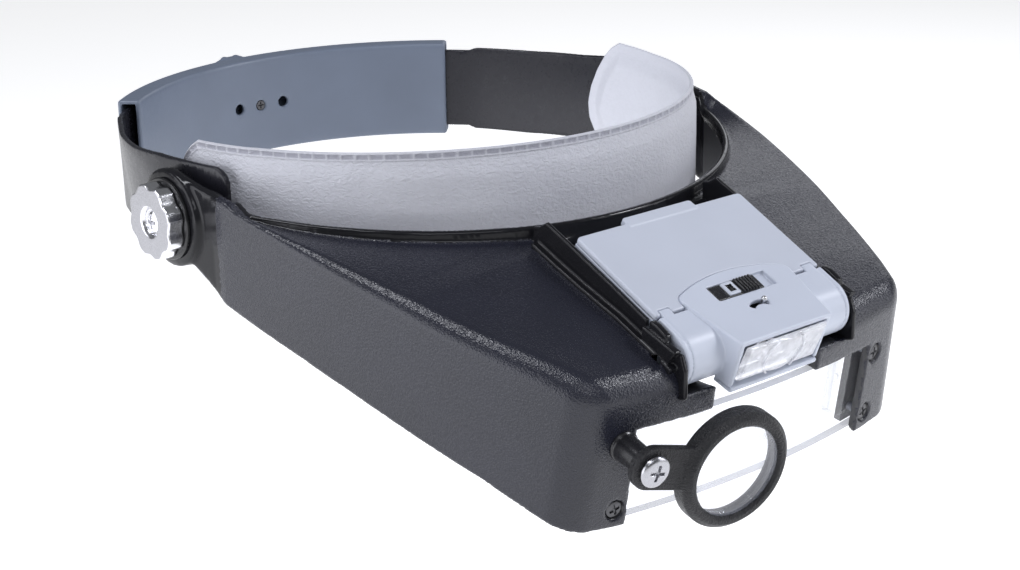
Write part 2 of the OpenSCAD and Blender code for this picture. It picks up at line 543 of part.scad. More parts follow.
rear_sleeve();
left_strap();
right_strap();
size_knob();
size_pinion();
size_knob_screw();
size_spring_washer();
front_band();
sweat_pad();
pivot_bolts();
pivot_washers();
friction_rings();
left_knob();
right_knob();
left_knob_screw();
right_knob_screw();
visor_shell();
main_lens();
lens_screws();
lens_clamps();
flip_lens();
flip_frame();
loupe_post();
loupe_ring();
loupe_lens();
loupe_screw();
loupe_washer();
lamp_case();
lamp_hood();
lamp_sole();
lamp_window();
battery_cover();
switch_slider();
switch_body();
aim_lever();
lamp_reflector();
lamp_led();
battery_cells();
battery_contacts();
battery_springs();
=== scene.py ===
import bpy, bmesh, json, math
import numpy as np
from mathutils import Vector, Matrix
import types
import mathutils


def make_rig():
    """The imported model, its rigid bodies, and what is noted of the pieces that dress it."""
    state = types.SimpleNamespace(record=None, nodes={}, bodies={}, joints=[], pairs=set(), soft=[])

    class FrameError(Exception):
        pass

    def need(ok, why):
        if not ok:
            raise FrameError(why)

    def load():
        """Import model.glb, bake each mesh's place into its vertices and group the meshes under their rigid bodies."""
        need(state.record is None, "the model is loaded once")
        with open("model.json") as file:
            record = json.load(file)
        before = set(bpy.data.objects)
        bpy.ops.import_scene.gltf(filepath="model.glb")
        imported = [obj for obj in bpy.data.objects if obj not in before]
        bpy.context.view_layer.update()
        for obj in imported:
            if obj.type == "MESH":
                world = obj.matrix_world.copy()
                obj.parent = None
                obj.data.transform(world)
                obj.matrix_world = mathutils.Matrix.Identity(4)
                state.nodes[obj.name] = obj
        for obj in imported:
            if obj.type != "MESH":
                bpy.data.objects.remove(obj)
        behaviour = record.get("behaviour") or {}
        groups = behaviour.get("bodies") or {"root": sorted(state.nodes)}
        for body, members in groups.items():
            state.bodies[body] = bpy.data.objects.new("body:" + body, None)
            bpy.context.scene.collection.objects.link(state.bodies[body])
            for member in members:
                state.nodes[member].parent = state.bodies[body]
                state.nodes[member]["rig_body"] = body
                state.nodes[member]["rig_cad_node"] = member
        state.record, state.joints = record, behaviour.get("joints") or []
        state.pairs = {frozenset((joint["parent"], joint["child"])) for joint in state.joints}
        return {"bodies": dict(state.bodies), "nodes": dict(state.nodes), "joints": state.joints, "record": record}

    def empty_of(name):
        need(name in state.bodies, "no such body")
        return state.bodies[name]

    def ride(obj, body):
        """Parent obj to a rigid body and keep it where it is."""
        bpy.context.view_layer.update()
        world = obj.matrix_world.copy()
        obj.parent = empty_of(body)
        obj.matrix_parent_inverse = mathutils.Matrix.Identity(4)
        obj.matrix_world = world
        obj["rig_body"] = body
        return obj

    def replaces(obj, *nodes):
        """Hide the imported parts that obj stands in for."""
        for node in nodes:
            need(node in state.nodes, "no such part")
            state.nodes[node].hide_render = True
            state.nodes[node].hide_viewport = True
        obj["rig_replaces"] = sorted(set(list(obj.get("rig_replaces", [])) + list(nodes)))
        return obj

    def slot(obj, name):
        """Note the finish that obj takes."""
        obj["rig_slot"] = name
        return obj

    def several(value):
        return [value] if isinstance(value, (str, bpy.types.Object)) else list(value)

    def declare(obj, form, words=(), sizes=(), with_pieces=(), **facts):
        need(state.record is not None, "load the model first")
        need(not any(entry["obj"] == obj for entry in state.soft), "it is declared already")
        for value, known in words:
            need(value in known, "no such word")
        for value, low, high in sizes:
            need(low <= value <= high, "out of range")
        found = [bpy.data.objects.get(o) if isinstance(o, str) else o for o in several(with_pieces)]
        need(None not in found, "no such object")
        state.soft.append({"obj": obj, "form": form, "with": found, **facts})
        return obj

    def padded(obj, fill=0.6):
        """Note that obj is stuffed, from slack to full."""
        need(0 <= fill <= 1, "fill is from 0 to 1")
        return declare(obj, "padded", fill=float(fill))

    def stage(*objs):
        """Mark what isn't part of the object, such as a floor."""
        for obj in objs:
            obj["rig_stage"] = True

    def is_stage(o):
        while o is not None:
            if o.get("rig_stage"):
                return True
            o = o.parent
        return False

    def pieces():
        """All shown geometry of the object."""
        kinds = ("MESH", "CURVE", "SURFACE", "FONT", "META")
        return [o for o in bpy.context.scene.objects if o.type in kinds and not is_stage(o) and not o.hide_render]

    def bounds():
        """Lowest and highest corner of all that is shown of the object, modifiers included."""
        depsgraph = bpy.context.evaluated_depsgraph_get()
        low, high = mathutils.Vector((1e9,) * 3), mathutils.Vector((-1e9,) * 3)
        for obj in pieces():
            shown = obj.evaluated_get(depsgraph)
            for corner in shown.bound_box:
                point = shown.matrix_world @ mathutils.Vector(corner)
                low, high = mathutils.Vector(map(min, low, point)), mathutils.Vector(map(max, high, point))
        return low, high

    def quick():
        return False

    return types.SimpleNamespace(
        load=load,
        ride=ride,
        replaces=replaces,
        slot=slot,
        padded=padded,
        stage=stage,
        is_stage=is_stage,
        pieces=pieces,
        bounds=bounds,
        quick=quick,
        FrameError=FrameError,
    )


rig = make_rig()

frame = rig.load()
CAD_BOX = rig.bounds()
N = frame["nodes"]
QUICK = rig.quick()
MM = 0.001
scene = bpy.context.scene
D2R = math.pi / 180

# ------------------------------------------------------------------ camera
AZ, EL, ROLL = -40.17 * D2R, 18.979 * D2R, -0.805 * D2R
back = Vector((math.sin(AZ) * math.cos(EL), -math.cos(AZ) * math.cos(EL), math.sin(EL)))
target = Vector((-0.07, -42.6, -31.0)) * MM
cam_d = bpy.data.cameras.new("cam")
cam_d.sensor_width = 36.0
cam_d.lens = 70.59
cam_d.clip_start, cam_d.clip_end = 0.02, 20
cam = bpy.data.objects.new("cam", cam_d)
scene.collection.objects.link(cam)
right = (-back).cross(Vector((0, 0, 1))).normalized()
up = right.cross(-back).normalized()
r2 = right * math.cos(ROLL) + up * math.sin(ROLL)
u2 = -right * math.sin(ROLL) + up * math.cos(ROLL)
mat = Matrix((r2, u2, back)).transposed().to_4x4()
mat.translation = target + back * 0.5835
cam.matrix_world = mat
scene.camera = cam

# ------------------------------------------------------------------ distance-field mesher (all in mm)
def grid_mesh(f, lo, hi, h):
    """Surface nets of f < 0 between lo and hi, with the points pulled onto f = 0."""
    lo = np.array(lo, float) - 1.5 * h
    hi = np.array(hi, float) + 1.5 * h
    B = 8
    n = np.ceil((hi - lo) / (h * B)).astype(int)
    dim = n * B + 1
    F = np.full(dim, 99.0, np.float32)
    ax = [lo[i] + h * np.arange(dim[i]) for i in range(3)]
    cen = [lo[i] + h * (B * (np.arange(n[i]) + 0.5)) for i in range(3)]
    C = np.stack(np.meshgrid(*cen, indexing="ij"), -1).reshape(-1, 3)
    fc = f(C)
    rad = h * B * 0.9 * 1.25 + 0.6
    act = np.nonzero(np.abs(fc) < rad)[0]
    bi = np.stack(np.unravel_index(np.arange(len(C)), n), -1)
    neg = np.nonzero(fc <= -rad)[0]
    for i in neg:
        a = bi[i] * B
        F[a[0]:a[0] + B + 1, a[1]:a[1] + B + 1, a[2]:a[2] + B + 1] = -99.0
    off = np.stack(np.meshgrid(np.arange(B + 1), np.arange(B + 1), np.arange(B + 1), indexing="ij"), -1).reshape(-1, 3)
    step = 600
    for s in range(0, len(act), step):
        idx = bi[act[s:s + step]] * B
        G = idx[:, None, :] + off[None]
        P = lo + h * G.reshape(-1, 3)
        v = f(P).astype(np.float32)
        g = G.reshape(-1, 3)
        F[g[:, 0], g[:, 1], g[:, 2]] = v
    S = F < 0
    c = S[:-1, :-1, :-1].astype(np.int8)
    tot = np.zeros(c.shape, np.int8)
    for dx in (0, 1):
        for dy in (0, 1):
            for dz in (0, 1):
                tot += S[dx:dx + c.shape[0], dy:dy + c.shape[1], dz:dz + c.shape[2]]
    cells = np.nonzero((tot > 0) & (tot < 8))
    cid = np.full(c.shape, -1, np.int64)
    cid[cells] = np.arange(len(cells[0]))
    ci = np.stack(cells, -1)
    acc = np.zeros((len(ci), 3)); cnt = np.zeros(len(ci))
    corners = [(a, b, d) for a in (0, 1) for b in (0, 1) for d in (0, 1)]
    for a in corners:
        for k in range(3):
            if a[k]:
                continue
            b = list(a); b[k] = 1
            fa = F[ci[:, 0] + a[0], ci[:, 1] + a[1], ci[:, 2] + a[2]].astype(float)
            fb = F[ci[:, 0] + b[0], ci[:, 1] + b[1], ci[:, 2] + b[2]].astype(float)
            m = (fa < 0) != (fb < 0)
            t = np.where(m, fa / np.where(m, fa - fb, 1), 0)
            t = np.clip(t, 0.02, 0.98)
            q = np.tile(np.array(a, float), (len(ci), 1)); q[:, k] += t
            acc += q * m[:, None]; cnt += m
    V = lo + h * (ci + acc / cnt[:, None])
    e = 0.02
    V0 = V.copy()
    for _ in range(3):
        f0 = f(V)
        g = np.stack([f(V + np.array(d) * e) - f(V - np.array(d) * e) for d in ((1, 0, 0), (0, 1, 0), (0, 0, 1))], -1) / (2 * e)
        g2 = (g * g).sum(1) + 1e-6
        V = V - np.clip((f0 / g2), -h * 0.5, h * 0.5)[:, None] * g
        dv = np.clip(V - V0, -h * 0.75, h * 0.75)
        V = V0 + dv
    quads = []
    for k in range(3):
        a, b = [(1, 2), (2, 0), (0, 1)][k]
        s0 = [slice(None)] * 3; s1 = [slice(None)] * 3
        s0[k] = slice(0, -1); s1[k] = slice(1, None)
        A = S[tuple(s0)]; Bm = S[tuple(s1)]
        ch = A != Bm
        sl = [slice(None)] * 3
        sl[a] = slice(1, -1); sl[b] = slice(1, -1)
        ee = np.nonzero(ch[tuple(sl)])
        E = np.stack(ee, -1)
        E[:, a] += 1; E[:, b] += 1
        inside = A[E[:, 0], E[:, 1], E[:, 2]]
        def cc(da, db):
            Q = E.copy(); Q[:, a] += da; Q[:, b] += db
            return cid[Q[:, 0], Q[:, 1], Q[:, 2]]
        q = np.stack([cc(-1, -1), cc(0, -1), cc(0, 0), cc(-1, 0)], -1)
        q[~inside] = q[~inside][:, ::-1]
        quads.append(q)
    Q = np.concatenate(quads)
    Q = Q[(Q >= 0).all(1)]
    return V, Q


def mk(name, V, Q, smooth=True):
    me = bpy.data.meshes.new(name)
    V = np.asarray(V, float) * MM
    Q = np.asarray(Q)
    k = Q.shape[1]
    me.vertices.add(len(V)); me.vertices.foreach_set("co", V.ravel())
    me.loops.add(Q.size); me.loops.foreach_set("vertex_index", Q.ravel().astype(np.int32))
    me.polygons.add(len(Q)); me.polygons.foreach_set("loop_start", np.arange(0, Q.size, k, dtype=np.int32))
    me.update(calc_edges=True)
    me.validate()
    if smooth:
        me.polygons.foreach_set("use_smooth", np.ones(len(me.polygons), bool))
    ob = bpy.data.objects.new(name, me)
    scene.collection.objects.link(ob)
    return ob


def apply_mods(ob):
    dg = bpy.context.evaluated_depsgraph_get()
    dg.update()
    me = bpy.data.meshes.new_from_object(ob.evaluated_get(dg))
    old = ob.data
    ob.modifiers.clear()
    ob.data = me
    me.name = ob.name
    bpy.data.meshes.remove(old)


def decimate(ob, ratio):
    m = ob.modifiers.new("d", "DECIMATE"); m.ratio = ratio
    apply_mods(ob)
    ob.data.polygons.foreach_set("use_smooth", np.ones(len(ob.data.polygons), bool))


def field(name, f, lo, hi, h, dec=None):
    V, Q = grid_mesh(f, lo, hi, h * (1.8 if QUICK else 1.0))
    ob = mk(name, V, Q)
    if dec and not QUICK:
        decimate(ob, dec)
    return ob


# -- signed distances. p is (n, 3); 2-D helpers take two coordinate arrays
def d_box(p, lo, hi, r=0.0):
    lo = np.array(lo, float); hi = np.array(hi, float)
    q = np.abs(p - (lo + hi) / 2) - (hi - lo) / 2 + r
    return np.sqrt((np.maximum(q, 0) ** 2).sum(1)) + np.minimum(q.max(1), 0) - r
def d_rect(a, b, lo, hi, r=0.0):
    qa = np.abs(a - (lo[0] + hi[0]) / 2) - (hi[0] - lo[0]) / 2 + r
    qb = np.abs(b - (lo[1] + hi[1]) / 2) - (hi[1] - lo[1]) / 2 + r
    return np.sqrt(np.maximum(qa, 0) ** 2 + np.maximum(qb, 0) ** 2) + np.minimum(np.maximum(qa, qb), 0) - r
def d_poly(a, b, pts):
    pts = np.asarray(pts, float)
    d = np.full(len(a), 1e9); s = np.ones(len(a))
    m = len(pts)
    for i in range(m):
        x1, y1 = pts[i]; x2, y2 = pts[i - 1]
        ex, ey = x2 - x1, y2 - y1
        wx, wy = a - x1, b - y1
        t = np.clip((wx * ex + wy * ey) / (ex * ex + ey * ey), 0, 1)
        bx, by = wx - ex * t, wy - ey * t
        d = np.minimum(d, bx * bx + by * by)
        c1 = b >= y1; c2 = b < y2; c3 = ex * wy > ey * wx
        fl = (c1 & c2 & c3) | (~c1 & ~c2 & ~c3)
        s = np.where(fl, -s, s)
    return s * np.sqrt(d)
def slab(a, lo, hi):
    return np.abs(a - (lo + hi) / 2) - (hi - lo) / 2
def inter(r, *g):
    """intersection with edges rounded to r (a number or an array)"""
    r = np.maximum(r, 1e-3)
    m = g[0]
    for x in g[1:]:
        m = np.maximum(m, x)
    s = 0
    for x in g:
        s = s + np.maximum(x + r, 0) ** 2
    return np.minimum(m, -r) + np.sqrt(s)
def union(*g):
    m = g[0]
    for x in g[1:]:
        m = np.minimum(m, x)
    return m
def sunion(k, a, b):
    """union with a fillet of about k"""
    u = np.maximum(k + 0 - a, 0); v = np.maximum(k - b, 0)
    return np.maximum(k, np.minimum(a, b)) - np.sqrt(u * u + v * v)
def cut(a, b, r=0.0):
    return np.maximum(a, -b) if r <= 0 else inter(r, a, -b)
def rot_x(p, o, deg):
    """coordinates of p in a frame at o that was turned by deg about X"""
    c, s = math.cos(deg * D2R), math.sin(deg * D2R)
    y, z = p[:, 1] - o[1], p[:, 2] - o[2]
    return p[:, 0] - o[0], y * c + z * s, -y * s + z * c
def interp(v, xs, ys):
    return np.interp(v, xs, ys)

# ------------------------------------------------------------------ materials
def new_mat(name):
    m = bpy.data.materials.new(name); m.use_nodes = True
    nt = m.node_tree
    b = nt.nodes["Principled BSDF"]
    return m, nt, b
def nd(nt, kind, **kw):
    n = nt.nodes.new(kind)
    for k, v in kw.items():
        setattr(n, k, v)
    return n
def coords(nt, scale=1000.0):
    """object coordinates in mm"""
    tc = nd(nt, "ShaderNodeTexCoord")
    mp = nd(nt, "ShaderNodeMapping")
    mp.inputs["Scale"].default_value = (scale,) * 3
    nt.links.new(tc.outputs["Object"], mp.inputs["Vector"])
    return mp.outputs["Vector"]
def noise(nt, vec, scale, detail=2.0, rough=0.5):
    n = nd(nt, "ShaderNodeTexNoise")
    n.inputs["Scale"].default_value = scale
    n.inputs["Detail"].default_value = detail
    n.inputs["Roughness"].default_value = rough
    nt.links.new(vec, n.inputs["Vector"])
    return n.outputs["Fac"]
def ramp(nt, fac, pts):
    r = nd(nt, "ShaderNodeValToRGB")
    el = r.color_ramp.elements
    while len(el) < len(pts):
        el.new(0.5)
    for e, (pos, col) in zip(el, pts):
        e.position = pos
        e.color = (col, col, col, 1) if isinstance(col, (int, float)) else tuple(col) + (1,)
    nt.links.new(fac, r.inputs["Fac"])
    return r.outputs["Color"]
def bump(nt, height, strength, dist, normal=None):
    b = nd(nt, "ShaderNodeBump")
    b.inputs["Strength"].default_value = strength
    b.inputs["Distance"].default_value = dist
    nt.links.new(height, b.inputs["Height"])
    if normal is not None:
        nt.links.new(normal, b.inputs["Normal"])
    return b.outputs["Normal"]
def math_(nt, op, a, b=None):
    m = nd(nt, "ShaderNodeMath", operation=op)
    for i, v in enumerate((a, b)):
        if v is None:
            continue
        if isinstance(v, (int, float)):
            m.inputs[i].default_value = v
        else:
            nt.links.new(v, m.inputs[i])
    return m.outputs[0]

def plastic(name, col, rough=(0.3, 0.42), bump_s=0.08, var=0.06, spec=0.5, coat=0.0, scale=0.6, micro=3.0):
    """moulded plastic: faint flow marks, fine surface grain, handling wear in the gloss"""
    m, nt, b = new_mat(name)
    v = coords(nt)
    n1 = noise(nt, v, 0.05, 3)
    n2 = noise(nt, v, scale, 4, 0.6)
    n3 = noise(nt, v, micro, 2)
    lo = tuple(c * (1 - var) for c in col); hi = tuple(min(1, c * (1 + var)) for c in col)
    c = ramp(nt, n1, [(0.3, lo), (0.7, hi)])
    nt.links.new(c, b.inputs["Base Color"])
    r = ramp(nt, n2, [(0.25, rough[0]), (0.75, rough[1])])
    nt.links.new(r, b.inputs["Roughness"])
    nt.links.new(bump(nt, n3, bump_s, 0.00012), b.inputs["Normal"])
    b.inputs["Specular IOR Level"].default_value = spec
    if coat:
        b.inputs["Coat Weight"].default_value = coat
        b.inputs["Coat Roughness"].default_value = 0.12
    return m

def grain(name, col, size=0.95, strength=0.55, rough=(0.34, 0.5), spec=0.5):
    """moulded leather grain: rounded pebbles of size mm, with shiny tops and dull valleys, the valleys darkened by
    painted shade
    """
    m, nt, b = new_mat(name)
    v = coords(nt)
    wob = noise(nt, v, 0.9, 2)
    vo = nd(nt, "ShaderNodeTexVoronoi", feature="F1")
    vo.inputs["Scale"].default_value = 1.0 / size
    vo.inputs["Randomness"].default_value = 1.0
    add = nd(nt, "ShaderNodeVectorMath", operation="ADD")
    sc = nd(nt, "ShaderNodeVectorMath", operation="SCALE")
    nz = nd(nt, "ShaderNodeTexNoise"); nz.inputs["Scale"].default_value = 1.3; nz.inputs["Detail"].default_value = 1
    nt.links.new(v, nz.inputs["Vector"])
    nt.links.new(nz.outputs["Color"], sc.inputs[0]); sc.inputs["Scale"].default_value = 0.9
    nt.links.new(v, add.inputs[0]); nt.links.new(sc.outputs[0], add.inputs[1])
    nt.links.new(add.outputs[0], vo.inputs["Vector"])
    peb = ramp(nt, vo.outputs["Distance"], [(0.05, 1.0), (0.75, 0.0)])
    fine = noise(nt, v, 3.2, 3, 0.6)
    h = math_(nt, "ADD", peb, math_(nt, "MULTIPLY", fine, 0.5))
    nrm = bump(nt, h, strength, 0.00042)
    nt.links.new(nrm, b.inputs["Normal"])
    big = noise(nt, v, 0.04, 3)
    lo = tuple(c * 0.9 for c in col); hi = tuple(c * 1.12 for c in col)
    c1 = ramp(nt, big, [(0.3, lo), (0.7, hi)])
    # painted shade: the colour is darkened in the valleys between the pebbles
    mx = nd(nt, "ShaderNodeMix", data_type="RGBA", blend_type="MULTIPLY")
    mx.inputs["Factor"].default_value = 0.5
    nt.links.new(c1, mx.inputs["A"]); nt.links.new(ramp(nt, peb, [(0.0, 0.72), (0.6, 1.0)]), mx.inputs["B"])
    nt.links.new(mx.outputs["Result"], b.inputs["Base Color"])
    r = ramp(nt, peb, [(0.0, rough[1]), (0.8, rough[0])])
    nt.links.new(r, b.inputs["Roughness"])
    b.inputs["Specular IOR Level"].default_value = spec
    return m

def metal(name, col, rough=(0.06, 0.14), brushed=False):
    m, nt, b = new_mat(name)
    v = coords(nt)
    n1 = noise(nt, v, 1.2, 3)
    b.inputs["Metallic"].default_value = 1.0
    c = ramp(nt, n1, [(0.3, tuple(x * 0.95 for x in col)), (0.7, col)])
    nt.links.new(c, b.inputs["Base Color"])
    r = ramp(nt, noise(nt, v, 2.5, 4), [(0.3, rough[0]), (0.7, rough[1])])
    nt.links.new(r, b.inputs["Roughness"])
    nt.links.new(bump(nt, noise(nt, v, 6.0, 2), 0.05, 0.00005), b.inputs["Normal"])
    return m

def clear(name, tint=(1, 1, 1), rough=0.02, trans=1.0, ior=1.49, alpha=1.0):
    m, nt, b = new_mat(name)
    v = coords(nt)
    b.inputs["Base Color"].default_value = tuple(tint) + (1,)
    b.inputs["Transmission Weight"].default_value = trans
    b.inputs["IOR"].default_value = ior
    b.inputs["Alpha"].default_value = alpha
    r = ramp(nt, noise(nt, v, 0.8, 3), [(0.3, rough * 0.5), (0.75, rough * 1.6)])
    nt.links.new(r, b.inputs["Roughness"])
    return m

M_VISOR = grain("visor_grain", (0.0145, 0.0155, 0.025), 0.55, 0.2, (0.20, 0.32))
M_VGLOSS = plastic("visor_smooth", (0.010, 0.010, 0.012), (0.13, 0.2), 0.04, 0.1, spec=0.24)
M_VIN = plastic("visor_inside", (0.030, 0.030, 0.033), (0.38, 0.5), 0.2, 0.08)
M_SLEEVE = plastic("sleeve_plastic", (0.130, 0.156, 0.208), (0.36, 0.46), 0.08, 0.05)
M_STRAP = plastic("strap_plastic", (0.014, 0.014, 0.019), (0.24, 0.34), 0.12, 0.08, spec=0.36)
M_BLACK = plastic("black_plastic", (0.012, 0.012, 0.014), (0.22, 0.32), 0.06, 0.08)
M_BOX = plastic("box_plastic", (0.50, 0.535, 0.62), (0.34, 0.42), 0.05, 0.02)
M_RUBBER = plastic("ring_rubber", (0.012, 0.012, 0.013), (0.2, 0.3), 0.05, 0.1)
M_CHROME = metal("knob_chrome", (0.80, 0.80, 0.83), (0.16, 0.26))
M_STEEL = metal("screw_steel", (0.62, 0.62, 0.63), (0.22, 0.34))
M_BSTEEL = metal("black_steel", (0.10, 0.10, 0.105), (0.28, 0.4))
M_LED = clear("lamp_glass", (1.0, 0.98, 0.9), 0.05)

def thin(name, tint, ior=1.45, haze=0.03, rough=(0.01, 0.04), axis=None, band=(0.4, 0.9), edge=0.5):
    """clear sheet: passes light straight through, mirrors more of the room at a slant, with a little haze"""
    m, nt, b = new_mat(name)
    nt.nodes.remove(b)
    out = next(n for n in nt.nodes if n.type == "OUTPUT_MATERIAL")
    v = coords(nt)
    tr = nd(nt, "ShaderNodeBsdfTransparent"); tr.inputs["Color"].default_value = tuple(tint) + (1,)
    gl = nd(nt, "ShaderNodeBsdfGlossy"); gl.inputs["Color"].default_value = (1, 1, 1, 1)
    nt.links.new(ramp(nt, noise(nt, v, 0.5, 3), [(0.3, rough[0]), (0.7, rough[1])]), gl.inputs["Roughness"])
    nt.links.new(bump(nt, noise(nt, v, 0.12, 2), 0.12, 0.0004), gl.inputs["Normal"])
    df = nd(nt, "ShaderNodeBsdfDiffuse"); df.inputs["Color"].default_value = (0.95, 0.96, 1.0, 1)
    lwt = nd(nt, "ShaderNodeLayerWeight")
    fr_ = ramp(nt, lwt.outputs["Facing"], [(0.0, 0.035), (0.6, 0.07), (0.86, 0.22 * (ior - 0.7)), (1.0, 0.8)])
    m1 = nd(nt, "ShaderNodeMixShader"); m2 = nd(nt, "ShaderNodeMixShader")
    nt.links.new(math_(nt, "MULTIPLY", noise(nt, v, 0.3, 3), haze * 2), m1.inputs["Fac"])
    nt.links.new(tr.outputs[0], m1.inputs[1]); nt.links.new(df.outputs[0], m1.inputs[2])
    nt.links.new(fr_, m2.inputs["Fac"])
    if axis is not None:
        # cut edges and the steep rim carry light sideways and look grey
        tcn = nd(nt, "ShaderNodeTexCoord"); dt = nd(nt, "ShaderNodeVectorMath", operation="DOT_PRODUCT")
        nt.links.new(tcn.outputs["Normal"], dt.inputs[0]); dt.inputs[1].default_value = tuple(float(a_) for a_ in axis)
        ed = ramp(nt, math_(nt, "ABSOLUTE", dt.outputs["Value"]), [(0.0, edge), (band[0], edge * 0.8), (band[1], 0.0)])
        gr = nd(nt, "ShaderNodeBsdfDiffuse"); gr.inputs["Color"].default_value = (0.42, 0.44, 0.50, 1)
        m3 = nd(nt, "ShaderNodeMixShader")
        nt.links.new(ed, m3.inputs["Fac"]); nt.links.new(m1.outputs[0], m3.inputs[1]); nt.links.new(gr.outputs[0], m3.inputs[2])
        m1 = m3
    nt.links.new(m1.outputs[0], m2.inputs[1]); nt.links.new(gl.outputs[0], m2.inputs[2])
    nt.links.new(m2.outputs[0], out.inputs["Surface"])
    return m
T_ = 8.75 * D2R
M_LENS = thin("clear_acrylic", (0.972, 0.975, 0.985), 1.35, 0.03, axis=(0, math.cos(T_), math.sin(T_)), band=(0.4, 0.9), edge=0.58)
M_FLIP = thin("clear_acrylic_inner", (0.985, 0.987, 0.99), 1.35, 0.02, axis=(0, math.cos(T_), math.sin(T_)), band=(0.4, 0.9), edge=0.1)
M_PIN = plastic("pinion_plastic", (0.05, 0.05, 0.06), (0.35, 0.45), 0.05, 0.03)
M_BOXC = plastic("box_cover_plastic", (0.485, 0.515, 0.59), (0.32, 0.40), 0.05, 0.02)
M_LRING = grain("loupe_grain", (0.012, 0.012, 0.014), 0.5, 0.5, (0.30, 0.42), spec=0.3)
A_ = math.asin(-47 / 330.0)
M_LOUPEG = thin("loupe_glass", (0.975, 0.975, 0.985), 1.5, 0.03, axis=(math.sin(A_), -math.cos(A_) * math.cos(T_), -math.cos(A_) * math.sin(T_)), band=(0.955, 0.972), edge=0.3)
M_WIN = thin("lamp_window_clear", (0.99, 0.99, 1.0), 1.5, 0.42, (0.03, 0.09))
M_CELL = metal("cell_jacket", (0.45, 0.42, 0.30), (0.25, 0.35))

def mirror_x(name, ob):
    me2 = ob.data.copy(); me2.name = name
    me2.transform(Matrix.Scale(-1, 4, (1, 0, 0))); me2.flip_normals()
    o2 = bpy.data.objects.new(name, me2); scene.collection.objects.link(o2)
    return o2

# ------------------------------------------------------------------ visor shell
PY, PZ = -10.0, 1.5
RIDGE_Y = [-160, -141, -128.7, -118.9, -106.1, -92.4, -77.7, -61.8, -51.5, -44.3, -34, -23, -10]
RIDGE_Z = [-25, -19.8, -15.6, -13.0, -9.5, -5.2, -1.0, 3.6, 6.2, 8.0, 10.5, 12.4, 15]
LOW_Y = [-160, -136.5, -128.4, -113, -88, -76, -60, -42, -31.5, -22.3, -18, -10]
LOW_Z = [-66, -60.2, -55.5, -47.6, -37.2, -32.4, -26.7, -21.2, -18.0, -12.2, -10.2, -11]
def hw(y):
    return -237.07 + np.sqrt(np.maximum(330.0 ** 2 - (y - 7) ** 2, 1))
def top_z(y, ax):
    """height of the top panel: from the ridge down or up to the collar's foot"""
    w_half = hw(y)
    ridge = interp(y, RIDGE_Y, RIDGE_Z) + 0.45 * np.clip((-50 - y) / 40, 0, 1)
    foot = interp(y, [-160, -150, -136, -123, -110, -101, -94, -87, -57, -34], [-26.5, -23.2, -17.2, -11.7, -7.2, -3.8, -0.9, 0.5, 3.4, 5.6])
    axc = np.maximum(np.sqrt(np.maximum(93.3 ** 2 - y * y, 0)), 31.0)
    s_ = np.clip((w_half - ax) / np.maximum(w_half - axc, 1.0), 0, 1)
    s_ = s_ * (1.25 - 0.25 * s_) * np.clip((-34 - y) / 5, 0, 1)
    return ridge + (foot - ridge) * np.where(w_half - axc < 1, 0, s_)
RR_Y = [-150, -140, -128, -115, -100, -80, -60, -46, -36]
RR_R = [6.0, 5.8, 5.3, 4.6, 4.0, 3.2, 2.4, 1.6, 1.1]
def face_front(p):
    x, d, w = rot_x(p, (0, -144.0, -33.9), 8.75)
    return np.sqrt(x * x + (d - 330.0) ** 2) - 330.0, w, x
